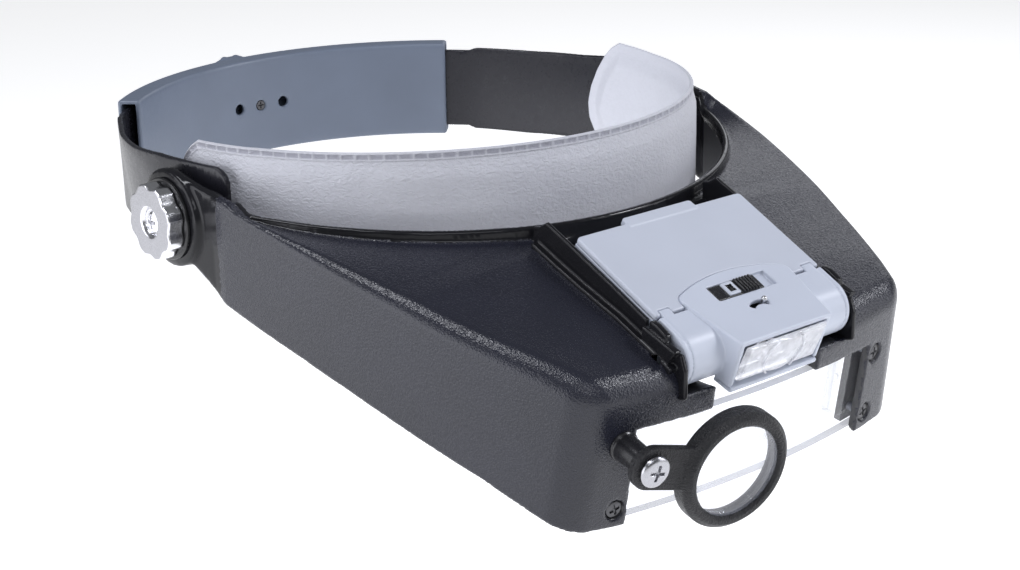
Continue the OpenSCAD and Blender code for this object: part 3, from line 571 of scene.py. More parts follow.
def visor_f(p):
    x, y, z = p[:, 0], p[:, 1], p[:, 2]
    ax = np.abs(x)
    w_half = hw(y)
    neck = np.clip((y + 33.0) / 5.0, 0, 1)
    side = (ax - (w_half - 0.7 * neck)) * 0.97
    top = (z - top_z(y, ax)) * 0.95
    low = (interp(y, LOW_Y, LOW_Z) - z) * 0.9
    fr, fw, fx = face_front(p)
    rr = interp(y, RR_Y, RR_R)
    outer = inter(rr, side, top, fr)
    t = 2.2
    inner = inter(np.maximum(rr - 1.8, 0.8), side + t, top + t, fr + 2.4)
    # the head opening
    rc = np.sqrt(x * x + y * y)
    head = np.maximum(rc - 91.8, side + t)
    hollow = np.minimum(np.minimum(inner, head), np.maximum(side + t + 0.7, -34.0 - y))
    body = inter(0.7, outer, -hollow)
    body = inter(0.8, body, low)
    # the ear: the wall ends in a disc
    ear = inter(0.6, np.sqrt((y - PY) ** 2 + (z - PZ) ** 2) - 13.5, slab(ax, 90.3, 92.6))
    boss = inter(0.5, np.sqrt((y - PY) ** 2 + (z - PZ) ** 2) - 12.4, slab(ax, 90.4, 92.85))
    back_cut = np.maximum(y - PY, slab(ax, 80, 100) * 0 + (y - PY))
    body = np.maximum(body, y - PY)
    # collar ring
    rim = 3.4 + (y + 93) * 0.063
    under = interp(y, [-95, -88, -78, -62, -50, -40], [-11.5, -6.8, -3.6, 1.0, 3.0, 4.4])
    collar = inter(0.55, slab(rc, 91.8, 93.5), (z - rim), (under - z), y + 34.5, side + 0.3)
    # light-box opening and pocket
    opening = np.maximum.reduce([ax - 31.0, y + 92.0, -27.4 - z])
    body = cut(body, opening)
    xb, u, v = rot_x(p, (0, -137.5, -19.3), 25)
    floor = inter(0.3, d_rect(u, v, (1, -10.4), (45, -8.4), 0.4), ax - 31.4)
    body = union(body, floor)
    body = sunion(0.8, body, collar)
    # tabs under the barrel
    tab_o = inter(0.5, slab(ax, 19.2, 33.0), slab(z, -34.0, -27.4), y + 131.5, fr)
    tab_i = np.maximum.reduce([slab(ax, 21.0, 40), z + 32.2, y + 133.0, -(y + 142.0)])
    body = union(body, tab_o)
    # lamp gap and window
    gap = np.maximum.reduce([ax - 19.2, y + 130.5, slab(z, -34.6, -14)])
    body = cut(body, gap, 0.4)
    win = np.maximum.reduce([ax - 43.3, fw, slab(fr, -5.2, 9)])
    body = cut(body, win, 0.45)
    win2 = np.maximum.reduce([ax - 47.5, fw + 0.4, slab(fr, -5.2, -2.3)])
    # ear joined last, bores and screw recesses
    body = sunion(1.2, body, ear)
    body = union(body, boss)
    inb = inter(0.4, np.sqrt((y - PY) ** 2 + (z - PZ) ** 2) - 7.0, slab(x, 88.3, 91))
    body = union(body, inb)
    bore = np.sqrt((y - PY) ** 2 + (z - PZ) ** 2) - 2.6
    body = cut(body, np.maximum(bore, 80 - ax), 0.15)
    pin = np.maximum(np.sqrt((y + 137.5) ** 2 + (z + 19.3) ** 2) - 2.06, slab(ax, 28, 34.5))
    body = cut(body, pin, 0.15)
    for sx, sw in ((-47, -21.9), (47, -3.4), (47, -21.9), (-47, -3.4)):
        a = math.asin(sx / 330.0)
        xl, d, w = rot_x(p, (0, -144.0, -33.9), 8.75)
        # turn about the bow's axis
        cx, cy = xl, d - 330.0
        lx = cx * math.cos(a) + cy * math.sin(a)
        rr2 = np.sqrt(lx * lx + (w - sw) ** 2)
        if not (sx < 0 and sw > -10):
            body = cut(body, np.maximum(rr2 - 2.75, slab(fr, -1.25, 5)), 0.25)
        body = cut(body, np.maximum(rr2 - 1.35, slab(fr, -8, 5)))
    return body
WALL_PTS = [(-88.5, -9), (-88.5, 4.2), (-92, 4.8), (-94.8, 6.5), (-104, 2.6), (-109.2, 0.2), (-118.9, -4.0), (-132.1, -10.1), (-131.9, -12.0),
            (-136.8, -14.0), (-141.4, -15.9), (-144.2, -16.2), (-145.6, -20), (-145.6, -27.4), (-136, -30)]
LEDGE_PTS = [(-132.3, -11.2), (-142.8, -14.8), (-143.9, -15.1), (-141.2, -18.7), (-132.0, -15.0)]
CLIP_PTS = [(-134.0, -9.6), (-136.2, -10.2), (-139.8, -12.2), (-139.8, -14.6), (-134.0, -12.8)]
def wall_f(p):
    """the pocket's near side wall: a thin upright with a clip and a ledge where it wraps the barrel"""
    x, y, z = p[:, 0], p[:, 1], p[:, 2]
    ax = np.abs(x)
    wall = inter(0.3, d_poly(y, z, WALL_PTS), slab(ax, 30.5, 31.8))
    foot = inter(0.3, d_poly(y, z, [(-91.5, -12), (-91.5, 0.9), (-101, -3.0), (-110, -6.4), (-123.4, -11.0), (-136, -16.4), (-143, -19.6), (-136, -30)]), slab(ax, 31.0, 34.1))
    ledge = inter(0.3, d_poly(y, z, LEDGE_PTS), slab(ax, 31.2, 33.6))
    clip = inter(0.25, d_poly(y, z, CLIP_PTS), slab(ax, 30.6, 32.6))
    b = sunion(0.4, wall, foot)
    b = union(b, ledge, clip)
    pin = np.maximum(np.sqrt((y + 137.5) ** 2 + (z + 19.3) ** 2) - 2.06, slab(ax, 28, 35))
    return cut(b, pin, 0.15)
wl = field("wall_l", wall_f, (-34, -147, -31), (-30, -90.5, 7), 0.36, 0.5)
wr = mirror_x("wall_r", wl)

t0 = __import__("time").time()
visor = field("visor", visor_f, (-94, -146, -62), (94, 5, 17), 0.72, 0.55)
print("visor", len(visor.data.polygons), round(__import__("time").time() - t0, 1), "s")
# textured skin outside, smooth plastic on the neck, collar and pocket, duller inside
visor.data.materials.append(M_VISOR); visor.data.materials.append(M_VGLOSS); visor.data.materials.append(M_VIN)
me = visor.data
C = np.zeros(len(me.polygons) * 3); me.polygons.foreach_get("center", C); C = C.reshape(-1, 3) / MM
Nn = np.zeros(len(me.polygons) * 3); me.polygons.foreach_get("normal", Nn); Nn = Nn.reshape(-1, 3)
def on_outer(c):
    x, y, z = c[:, 0], c[:, 1], c[:, 2]
    ax = np.abs(x); w_half = hw(y)
    side = (ax - w_half) * 0.97
    top = (z - top_z(y, ax)) * 0.95
    fr, fw, fx = face_front(c)
    rr = interp(y, RR_Y, RR_R)
    return inter(rr, side, top, fr), fr
o, fr_ = on_outer(C)
rc_ = np.hypot(C[:, 0], C[:, 1])
idx = np.full(len(C), 2)
idx[(np.abs(o) < 0.35) & (C[:, 1] < -30.4) & (rc_ > 93.6) & (np.abs(C[:, 0]) > 31.4)] = 0
idx[(np.abs(fr_) < 0.5) & (C[:, 1] < -125) & (np.abs(C[:, 0]) > 19.0) & (C[:, 2] < -19)] = 0
idx[(idx == 2) & (C[:, 1] > -34.2)] = 1
idx[(idx == 2) & (rc_ < 93.9) & (rc_ > 90) & (C[:, 2] > -12) & (Nn[:, 2] > -0.5)] = 1
idx[(idx == 2) & (np.abs(C[:, 0]) < 36.5) & (Nn[:, 2] > -0.7) & (C[:, 1] < -90) & (C[:, 2] > -28)] = 1
me.polygons.foreach_set("material_index", idx.astype(np.int32))
for o_ in (wl, wr):
    o_.data.polygons.foreach_set("material_index", np.ones(len(o_.data.polygons), np.int32))
bmm = bmesh.new()
for o_ in (visor, wl, wr):
    bmm.from_mesh(o_.data)
bmm.to_mesh(visor.data); bmm.free()
bpy.data.objects.remove(wl); bpy.data.objects.remove(wr)
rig.ride(visor, "visor"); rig.replaces(visor, "visor_shell"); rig.slot(visor, "visor_plastic")

# ------------------------------------------------------------------ the rest of the pieces
def polar(p):
    x, y, z = p[:, 0], p[:, 1], p[:, 2]
    return np.sqrt(x * x + y * y), np.arctan2(-x, y) / D2R, z       # radius, angle from +Y towards -X, height

def put(ob, mats, body, nodes, slot):
    for m_ in (mats if isinstance(mats, (list, tuple)) else [mats]):
        ob.data.materials.append(m_)
    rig.ride(ob, body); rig.replaces(ob, *nodes)
    if slot:
        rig.slot(ob, slot)
    return ob

# rear sleeve
def sleeve_f(p):
    rc, t, z = polar(p)
    x, y = p[:, 0], p[:, 1]
    ca, sa = math.cos(44.5 * D2R), math.sin(44.5 * D2R)
    end = np.abs(x) * ca - y * sa
    end = np.where(y < 0, 50.0, end)
    b = inter(0.9, slab(rc, 84.4, 91.5), slab(z, -15.7, 15.7), end)
    # the mouth has a thin rounded lip
    cav = inter(0.5, slab(rc, 85.9, 90.2), slab(z, -14.55, 14.55))
    b = inter(0.35, b, -cav)
    boss = inter(0.7, np.sqrt(x * x + z * z) - 10.5, slab(y, 90.5, 92.8))
    b = sunion(0.8, b, boss)
    shaft = np.maximum(np.sqrt(x * x + z * z) - 2.48, 89.9 - y)
    b = cut(b, shaft, 0.2)
    for a in (-5.8, 0.0, 5.8):
        c, s = math.cos(a * D2R), math.sin(a * D2R)
        lx = x * c + y * s
        ly = -x * s + y * c
        hole = np.sqrt(lx * lx + z * z)
        b = cut(b, np.maximum(hole - 1.75, slab(ly, 80, 86.5)), 0.3)
    return b
sleeve = field("sleeve", sleeve_f, (-66, 59, -16.5), (66, 93.5, 16.5), 0.6, 0.5)
put(sleeve, M_SLEEVE, "head_band", ["rear_sleeve"], "sleeve_plastic")

# straps
S_Y = [-30, -12, 2, 18, 37, 54.2, 56, 96]
S_Z = [16.7, 16.6, 16.2, 14.7, 14.0, 14.0, 13.1, 13.1]
def strap_f(r, up_):
    pitch = 180.0 / (r + 0.75)
    def f(p):
        rc, t, z = polar(p)
        y = p[:, 1]
        e_ = np.clip((t - 45.5) / 16.0, 0, 1)
        e2 = np.clip((t - 47) / 19.0, 0, 1); e3 = np.clip((t - 79) / 12.0, 0, 1)
        rc = rc + (1.9 if r > 87 else 0.6) * e_ * e_ * (3 - 2 * e_) + (3.0 if r > 87 else 1.5) * np.clip((12 - z) / 26, 0, 1.1) * e2 * e2 * (3 - 2 * e2) * (1 - e3 * e3 * (3 - 2 * e3))
        half = np.where(z > 0, interp(y, S_Y, S_Z), interp(y, S_Y, [12.2, 12.3, 12.7, 13.3, 14.0, 14.0, 13.1, 13.1]))
        edge = (np.abs(z) - half) * 0.97
        # rounded front corners
        front = -26.0 - y
        corner = inter(5.0, edge, front)
        rear = (-17.0 - t) * D2R * r
        b = inter(0.45, slab(rc, r, r + 1.5), corner, rear)
        zs = z * up_
        slot = np.maximum(slab(t * D2R * r, -12 * D2R * r, 14 * D2R * r), slab(zs, -6.7, 6.3))
        k = np.floor(t / pitch) + 0.5
        u = (t - k * pitch) * D2R * (r + 0.75)
        tooth = np.maximum.reduce([np.abs(u) - interp(zs, [4.1, 5.0, 6.4, 7.4], [0.40, 0.725, 1.24, 1.24]), 4.1 - zs, np.abs(k) - 5.6])
        slot = np.maximum(slot, -tooth)
        b = np.maximum(b, -slot)
        hole = np.sqrt((y - PY) ** 2 + (z - PZ) ** 2) - (5.6 if r > 87 else 4.7)
        return cut(b, np.maximum(hole, 60 - np.abs(p[:, 0])), 0.2)
    return f
ls = field("strap_left", strap_f(88.2, 1), (-91, -28, -18), (28, 91, 18), 0.55, 0.5)
put(ls, M_STRAP, "left_strap", ["left_strap"], "strap_plastic")
rs0 = field("strap_r0", strap_f(86.3, -1), (-89, -28, -18), (27, 89, 18), 0.55, 0.5)
rs = mirror_x("strap_right", rs0); bpy.data.objects.remove(rs0)
put(rs, M_STRAP, "right_strap", ["right_strap"], "strap_plastic")

# size knob: ribbed rim, dished back
def size_knob_f(p):
    x, y, z = p[:, 0], p[:, 1], p[:, 2]
    r = np.sqrt(x * x + z * z); a = np.arctan2(z, x)
    k = np.round(a / (20 * D2R)) * 20 * D2R
    lx = x * np.cos(k) + z * np.sin(k); lz = -x * np.sin(k) + z * np.cos(k)
    rib = np.sqrt((lx - 13.1) ** 2 + lz ** 2) - 1.1
    prof = sunion(0.5, r - 13.7, rib)
    b = inter(0.9, prof, slab(y, 93.5, 103))
    dish = np.sqrt(r * r + np.maximum(0, 0) ) - 10.2
    b = cut(b, np.maximum(dish, 101.4 - y), 0.6)
    b = union(b, inter(0.4, r - 3.2, slab(y, 98, 102.3)))
    b = union(b, inter(0.15, r - 2.4, slab(y, 89.75, 95)))
    return np.maximum(b, -np.maximum(r - 1.06, y - 101.2))
sk = field("size_knob_body", size_knob_f, (-15, 89, -15), (15, 103.6, 15), 0.45, 0.6)
put(sk, M_SLEEVE, "size_knob", ["size_knob"], "sleeve_plastic")

# ---------------------------------------------------------------- forehead pad
def pad_mesh():
    R = 82.1
    # outline in (y, z) at the side ends, as a closed curve in unrolled (s, z)
    endp = np.array([(-1.8, 22.2), (1.8, 20.2), (4.8, 17.2), (8.2, 12.0), (10.8, 6.2), (12.1, 0.5), (11.6, -4.6), (8.9, -9.6), (5.0, -14.2), (0.6, -17.6), (-5.0, -19.9), (-10.0, -20.5)])
    def s_of(y):
        return R * np.arccos(np.clip(-y / R, -1, 1))
    def ztop(s):
        y = -R * np.cos(s / R)
        return interp(y, [-90, -60, -20, -1.8], [23.6, 23.0, 21.9, 22.2])
    e = endp
    # refine the end curve
    tt = np.linspace(0, len(e) - 1, 90)
    from_y = np.interp(tt, range(len(e)), e[:, 0]); from_z = np.interp(tt, range(len(e)), e[:, 1])
    kk = np.array([1, 2, 3, 2, 1.0]); kk /= kk.sum()
    fy = np.convolve(np.pad(from_y, 2, "edge"), kk, "valid"); fz = np.convolve(np.pad(from_z, 2, "edge"), kk, "valid")
    se = s_of(fy)
    s0 = s_of(-1.8)
    top_s = np.linspace(-s0, s0, 420)
    bot_s = np.linspace(s_of(-10.0), -s_of(-10.0), 400)
    ol = np.concatenate([np.stack([top_s, ztop(top_s)], -1), np.stack([se, fz], -1)[1:], np.stack([bot_s, np.full(400, -20.5)], -1)[1:],
                         np.stack([-se, fz], -1)[::-1][1:-1]])
    seg = np.roll(ol, -1, 0) - ol
    L = np.hypot(seg[:, 0], seg[:, 1]); cum = np.concatenate([[0], np.cumsum(L)[:-1]])
    smax = se.max()
    # columns, denser at the ends
    nc = 300 if QUICK else 620
    cc = np.linspace(-1, 1, nc)
    cols = smax * 0.9995 * (cc * 0.8 + 0.2 * np.sin(cc * math.pi / 2))
    # column limits from the outline
    hi_z = np.empty(nc); lo_z = np.empty(nc)
    end_up = fy.argmax()
    up_s, up_z = se[:end_up + 1], fz[:end_up + 1]
    dn_s, dn_z = se[end_up:][::-1], fz[end_up:][::-1]
    for i, s in enumerate(np.abs(cols)):
        hi_z[i] = ztop(s) if s < s0 else np.interp(s, up_s, up_z)
        lo_z[i] = -20.5 if s < s_of(-10.0) else np.interp(s, dn_s, dn_z)
    # rows
    hem = np.array([0, 0.12, 0.3, 0.5, 0.75, 1.0, 1.25, 1.5, 1.75, 2.0, 2.2, 2.4, 2.65, 3.0, 3.5, 4.2, 5.2]) / 43.0
    mid = np.linspace(6.6, 36.4, 15 if QUICK else 26) / 43.0
    b = np.concatenate([hem, mid, 1 - hem[::-1]])
    nr = len(b)
    Sg = np.repeat(cols[:, None], nr, 1)
    Zg = lo_z[:, None] + (hi_z - lo_z)[:, None] * b[None]
    P = np.stack([Sg.ravel(), Zg.ravel()], -1)
    # nearest outline point
    dist = np.empty(len(P)); q = np.empty(len(P))
    for i in range(0, len(P), 4000):
        w_ = P[i:i + 4000, None, :] - ol[None]
        t_ = np.clip((w_ * seg[None]).sum(-1) / np.maximum(L * L, 1e-9)[None], 0, 1)
        dd = w_ - t_[..., None] * seg[None]
        d2 = (dd * dd).sum(-1)
        j = d2.argmin(1); ar = np.arange(len(j))
        dist[i:i + 4000] = np.sqrt(d2[ar, j]); q[i:i + 4000] = cum[j] + t_[ar, j] * L[j]
    def sm(x, a, c):
        t = np.clip((x - a) / (c - a), 0, 1); return t * t * (3 - 2 * t)
    rng = np.random.RandomState(7)
    # soft wrinkles across the leatherette
    wr = np.zeros(len(P))
    for k in range(26):
        kx, kz = rng.uniform(0.05, 0.5), rng.uniform(-0.25, 0.25)
        wr += np.sin(P[:, 0] * kx + P[:, 1] * kz + rng.uniform(0, 6.28)) * 0.035 / (0.3 + kx)
    body = sm(dist, 2.5, 7.5)
    cell = np.abs((q / 4.05) % 1 - 0.5) * 4.05          # 0 at a cell's middle
    bar = 1 - sm(2.025 - cell, 0.16, 0.42)
    line = (1 - sm(np.abs(dist - 0.35), 0.18, 0.42)) + (1 - sm(np.abs(dist - 2.15), 0.16, 0.40))
    recess = (1 - np.clip(bar + line, 0, 1)) * (dist < 2.5) * sm(dist, 0.2, 0.5)
    edge = np.sqrt(np.clip(dist / 0.45, 0, 1))
    h_out = edge * 0.62 + 1.05 * body - 0.34 * recess + wr * body * 0.30 - 0.12 * sm(2.9 - np.abs(dist - 2.7), 2.4, 2.9)
    h_in = edge * 0.62 + 1.55 * body + wr * body * 0.16
    # the pad sits a few millimetres round towards the far side, and dips a little at its near end
    ang = np.where(P[:, 0] < 0, P[:, 0] * (smax - 8.5) / smax, P[:, 0]) / R
    dip = 1.1 * sm(-P[:, 0], 0.72 * smax, 0.95 * smax) * np.clip(P[:, 1] / 20.0, 0, 1)
    def shell(rad):
        return np.stack([rad * np.sin(ang), -rad * np.cos(ang), P[:, 1] - dip], -1)
    Vo, Vi = shell(R + h_out), shell(R - h_in)
    ids = np.arange(nc * nr).reshape(nc, nr)
    qo = np.stack([ids[:-1, :-1], ids[1:, :-1], ids[1:, 1:], ids[:-1, 1:]], -1).reshape(-1, 4)
    off = nc * nr
    qi = qo[:, ::-1] + off
    def strip(a):
        a = np.asarray(a)
        return np.stack([a[:-1], a[1:], a[1:] + off, a[:-1] + off], -1)
    rim = np.concatenate([strip(ids[:, 0])[:, ::-1], strip(ids[:, -1]), strip(ids[0, :]), strip(ids[-1, :])[:, ::-1]])
    V = np.concatenate([Vo, Vi]); Q = np.concatenate([qo, qi, rim])
    ob = mk("forehead_pad", V, Q)
    # mask layers for the material: 1 = recessed cell, which the material darkens with painted shade, and the lining on
    # the inside
    at = ob.data.attributes.new("lining", "FLOAT", "POINT")
    at.data.foreach_set("value", np.concatenate([np.zeros(len(P)), np.ones(len(P))]).astype(np.float32))
    at = ob.data.attributes.new("cell", "FLOAT", "POINT")
    at.data.foreach_set("value", np.concatenate([recess, np.zeros(len(P))]).astype(np.float32))
    bmm = bmesh.new(); bmm.from_mesh(ob.data)
    bmesh.ops.remove_doubles(bmm, verts=bmm.verts, dist=1e-6)
    bmesh.ops.recalc_face_normals(bmm, faces=bmm.faces)
    bmm.to_mesh(ob.data); bmm.free()
    ob.data.polygons.foreach_set("use_smooth", np.ones(len(ob.data.polygons), bool))
    return ob
def leatherette():
    m, nt, b = new_mat("pad_leatherette")
    v = coords(nt)
    at = nd(nt, "ShaderNodeAttribute", attribute_name="lining"); lin = at.outputs["Fac"]
    ce = nd(nt, "ShaderNodeAttribute", attribute_name="cell")
    vo = nd(nt, "ShaderNodeTexVoronoi", feature="F1"); vo.inputs["Scale"].default_value = 0.62
    add = nd(nt, "ShaderNodeVectorMath", operation="ADD"); sc = nd(nt, "ShaderNodeVectorMath", operation="SCALE")
    nz = nd(nt, "ShaderNodeTexNoise"); nz.inputs["Scale"].default_value = 0.55; nz.inputs["Detail"].default_value = 3
    nt.links.new(v, nz.inputs["Vector"]); nt.links.new(nz.outputs["Color"], sc.inputs[0]); sc.inputs["Scale"].default_value = 2.6
    st = nd(nt, "ShaderNodeMapping"); st.inputs["Scale"].default_value = (1, 1, 2.3)
    nt.links.new(v, add.inputs[0]); nt.links.new(sc.outputs[0], add.inputs[1]); nt.links.new(add.outputs[0], st.inputs["Vector"])
    nt.links.new(st.outputs["Vector"], vo.inputs["Vector"])
    cre = ramp(nt, vo.outputs["Distance"], [(0.0, 1.0), (0.85, 0.0)])
    fine = noise(nt, v, 2.2, 3, 0.55)
    h = math_(nt, "ADD", math_(nt, "MULTIPLY", cre, 0.8), math_(nt, "MULTIPLY", fine, 0.5))
    amt = math_(nt, "SUBTRACT", 1.0, math_(nt, "MULTIPLY", lin, 0.82))
    h2 = math_(nt, "MULTIPLY", h, amt)
    nt.links.new(bump(nt, h2, 0.62, 0.00042), b.inputs["Normal"])
    big = noise(nt, v, 0.03, 3)
    c1 = ramp(nt, big, [(0.3, (0.50, 0.505, 0.555)), (0.7, (0.53, 0.535, 0.58))])
    c2 = ramp(nt, big, [(0.3, (0.58, 0.59, 0.645)), (0.7, (0.61, 0.62, 0.675))])
    mx = nd(nt, "ShaderNodeMix", data_type="RGBA"); nt.links.new(lin, mx.inputs["Factor"]); nt.links.new(c1, mx.inputs["A"]); nt.links.new(c2, mx.inputs["B"])
    # painted shade: a faint darkening of the creases between the raised cells of the grain
    mc = nd(nt, "ShaderNodeMix", data_type="RGBA", blend_type="MULTIPLY"); mc.inputs["Factor"].default_value = 0.6
    nt.links.new(mx.outputs["Result"], mc.inputs["A"]); nt.links.new(ramp(nt, cre, [(0.0, 0.95), (0.5, 1.0)]), mc.inputs["B"])
    # painted shade: the recessed cells of the border ladder are darkened in the colour
    md = nd(nt, "ShaderNodeMix", data_type="RGBA", blend_type="MULTIPLY"); nt.links.new(math_(nt, "MULTIPLY", ce.outputs["Fac"], 0.9), md.inputs["Factor"])
    nt.links.new(mc.outputs["Result"], md.inputs["A"]); md.inputs["B"].default_value = (0.62, 0.62, 0.66, 1)
    nt.links.new(md.outputs["Result"], b.inputs["Base Color"])
    nt.links.new(ramp(nt, fine, [(0.3, 0.42), (0.7, 0.58)]), b.inputs["Roughness"])
    b.inputs["Specular IOR Level"].default_value = 0.45
    return m
M_PAD = leatherette()
pad = pad_mesh()
put(pad, M_PAD, "front", ["sweat_pad"], "pad_leatherette")
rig.padded(pad, fill=0.55)

# ---------------------------------------------------------------- turned pieces
def lathe(name, prof, n=96, closed=True):
    """prof is [(r, h)] turned about Z; a closed profile makes a ring"""
    prof = np.asarray(prof, float); m_ = len(prof)
    V = []; Q = []; F3 = []
    a = np.arange(n) * 2 * math.pi / n
    for r, h in prof:
        V.append(np.stack([r * np.cos(a), r * np.sin(a), np.full(n, h)], -1))
    V = np.concatenate(V)
    for i in range(m_ if closed else m_ - 1):
        j = (i + 1) % m_
        for k in range(n):
            k2 = (k + 1) % n
            Q.append((i * n + k, i * n + k2, j * n + k2, j * n + k))
    ob = mk(name, V, np.array(Q))
    bmm = bmesh.new(); bmm.from_mesh(ob.data)
    bmesh.ops.remove_doubles(bmm, verts=bmm.verts, dist=1e-7)
    bmesh.ops.recalc_face_normals(bmm, faces=bmm.faces)
    bmm.to_mesh(ob.data); bmm.free()
    ob.data.polygons.foreach_set("use_smooth", np.ones(len(ob.data.polygons), bool))
    return ob
def rounded(prof, r, n=5):
    """rounds the corners of a closed (r, h) profile"""
    prof = [np.array(q, float) for q in prof]; out = []
    m_ = len(prof)
    for i in range(m_):
        a, b_, c = prof[i - 1], prof[i], prof[(i + 1) % m_]
        u1 = (a - b_); u2_ = (c - b_); l1 = np.linalg.norm(u1); l2 = np.linalg.norm(u2_)
        rr_ = min(r, l1 * 0.45, l2 * 0.45)
        p1 = b_ + u1 / l1 * rr_; p2 = b_ + u2_ / l2 * rr_
        for k in range(n + 1):
            t = k / n
            out.append((1 - t) ** 2 * p1 + 2 * t * (1 - t) * b_ + t * t * p2)
    return out
def xturn(ob, side):
    """turn a lathe about Z into one about the pivot axis; its +h points outwards on that side"""
    if side < 0:
        M_ = Matrix(((0, 0, -1, 0), (0, 1, 0, PY * MM), (1, 0, 0, PZ * MM), (0, 0, 0, 1)))
    else:
        M_ = Matrix(((0, 0, 1, 0), (0, 1, 0, PY * MM), (-1, 0, 0, PZ * MM), (0, 0, 0, 1)))
    ob.data.transform(M_)
    ob.data.update()
    return ob
def join(name, obs):
    bmm = bmesh.new()
    for o in obs:
        bmm.from_mesh(o.data)
    me_ = bpy.data.meshes.new(name); bmm.to_mesh(me_); bmm.free()
    for o in obs:
        bpy.data.objects.remove(o)
    me_.polygons.foreach_set("use_smooth", np.ones(len(me_.polygons), bool))
    ob = bpy.data.objects.new(name, me_); scene.collection.objects.link(ob)
    return ob
ringp = rounded([(2.65, 92.95), (11.35, 92.95), (11.35, 94.1), (2.65, 94.1)], 0.45)
rings = join("pressure_rings", [xturn(lathe("r1", ringp), -1), xturn(lathe("r2", ringp), 1)])
put(rings, M_RUBBER, "front", ["friction_rings"], "ring_rubber")

# side knobs: eight lobes with hollow flanks, a dished centre
def knob_f(p):
    x, y, z = p[:, 0], p[:, 1] - PY, p[:, 2] - PZ       # x = height along the axis, positive outwards
    r = np.sqrt(y * y + z * z); a = np.arctan2(-y, z) - 5 * D2R   # from the top towards the front
    st = 45 * D2R
    k = np.round(a / st) * st
    da = a - k
    sx, sy = r * np.cos(da), r * np.sin(da)
    scal = np.sqrt((sx - 12.9) ** 2 + sy ** 2) - 3.35
    prof = inter(1.0, r - 10.45, -scal)
    b = inter(0.55, prof, slab(x, 94.2, 98.9) )
    face = (x - 98.9) + 0.0 * r
    dish = np.maximum(np.sqrt(r * r + (x - 101.0) ** 2 * 0 ) - (3.55 + np.clip((x - 98.0) * 0.9, 0, 1)), 97.5 - x)
    b = cut(b, dish, 0.3)
    back = np.maximum(slab(r, 4.2, 7.6), x - 96.2)
    b = cut(b, back, 0.2)
    return np.maximum(b, -(r - 2.6))
def xmap(f, side):
    def g(p):
        q = p.copy(); q[:, 0] = p[:, 0] * side
        return f(q)
    return g
kl = field("knob_left", xmap(knob_f, -1), (-99.4, PY - 11, PZ - 11), (-93.8, PY + 11, PZ + 11), 0.23, None)
put(kl, M_CHROME, "left_knob", ["left_knob"], "knob_chrome")
kr = field("knob_right", xmap(knob_f, 1), (93.8, PY - 11, PZ - 11), (99.4, PY + 11, PZ + 11), 0.23, None)
put(kr, M_CHROME, "right_knob", ["right_knob"], "knob_chrome")
def cross(u_, v_, w_, half, wid, dep, top):
    """a cross recess cut dep deep from height top"""
    a = inter(0.1, slab(u_, -half, half), slab(v_, -wid, wid), top - dep - w_)
    b = inter(0.1, slab(v_, -half, half), slab(u_, -wid, wid), top - dep - w_)
    return np.minimum(a, b)
def kscrew_f(p):
    x, y, z = p[:, 0], p[:, 1] - PY, p[:, 2] - PZ
    r = np.sqrt(y * y + z * z)
    b = inter(0.4, r - 3.3, 96.2 - x, np.sqrt(r * r + (x - 92.6) ** 2) - 5.9)
    b = union(np.maximum(b, 97.55 - x), inter(0.2, r - 2.45, slab(x, 96.1, 97.8)))
    return cut(b, cross(y, z, x, 1.9, 0.42, 1.0, 98.4), 0.12)
M_KFACE = metal("knob_face", (0.42, 0.42, 0.445), (0.2, 0.3))
for o_, sd in ((kl, -1), (kr, 1)):
    o_.data.materials.append(M_KFACE)
    ck = np.zeros(len(o_.data.polygons) * 3); o_.data.polygons.foreach_get("center", ck); ck = ck.reshape(-1, 3) / MM
    o_.data.polygons.foreach_set("material_index", ((ck[:, 0] * sd > 98.86) & (np.hypot(ck[:, 1] - PY, ck[:, 2] - PZ) > 3.6)).astype(np.int32))
for nm, sd, bd in (("left", -1, "left_knob"), ("right", 1, "right_knob")):
    lo_, hi_ = (-98.9, -95.8) if sd < 0 else (95.8, 98.9)
    o_ = field("knob_screw_" + nm, xmap(kscrew_f, sd), (lo_, PY - 3.6, PZ - 3.6), (hi_, PY + 3.6, PZ + 3.6), 0.14, 0.6)
    put(o_, M_CHROME, bd, [nm + "_knob_screw"], "knob_chrome")

# ---------------------------------------------------------------- loupe, in its own plane
T_ = 8.75 * D2R
A_ = math.asin(-47 / 330.0)
Dv = np.array((0, math.cos(T_), math.sin(T_))); Wv = np.array((0, -math.sin(T_), math.cos(T_))); Xv = np.array((1.0, 0, 0))
Ln = math.sin(A_) * Xv - math.cos(A_) * Dv
Lx = math.cos(A_) * Xv + math.sin(A_) * Dv
Lo = np.array((-47.0, -140.1578, -36.7487))
def frame_m(o, ax_, ay_, az_):
    M_ = Matrix.Identity(4)
    for i in range(3):
        M_[i][0], M_[i][1], M_[i][2], M_[i][3] = ax_[i], ay_[i], az_[i], o[i] * MM
    return M_
cl, sl_ = math.cos(-14 * D2R), math.sin(-14 * D2R)
M_LOUPE = frame_m(Lo + 9.7 * Ln, cl * Lx + sl_ * Wv, -sl_ * Lx + cl * Wv, Ln)
M_POST = frame_m(Lo, Lx, Wv, Ln)
def local(name, f, lo, hi, h, dec, M_):
    ob = field(name, f, lo, hi, h, dec)
    ob.data.transform(M_); ob.data.update()
    return ob
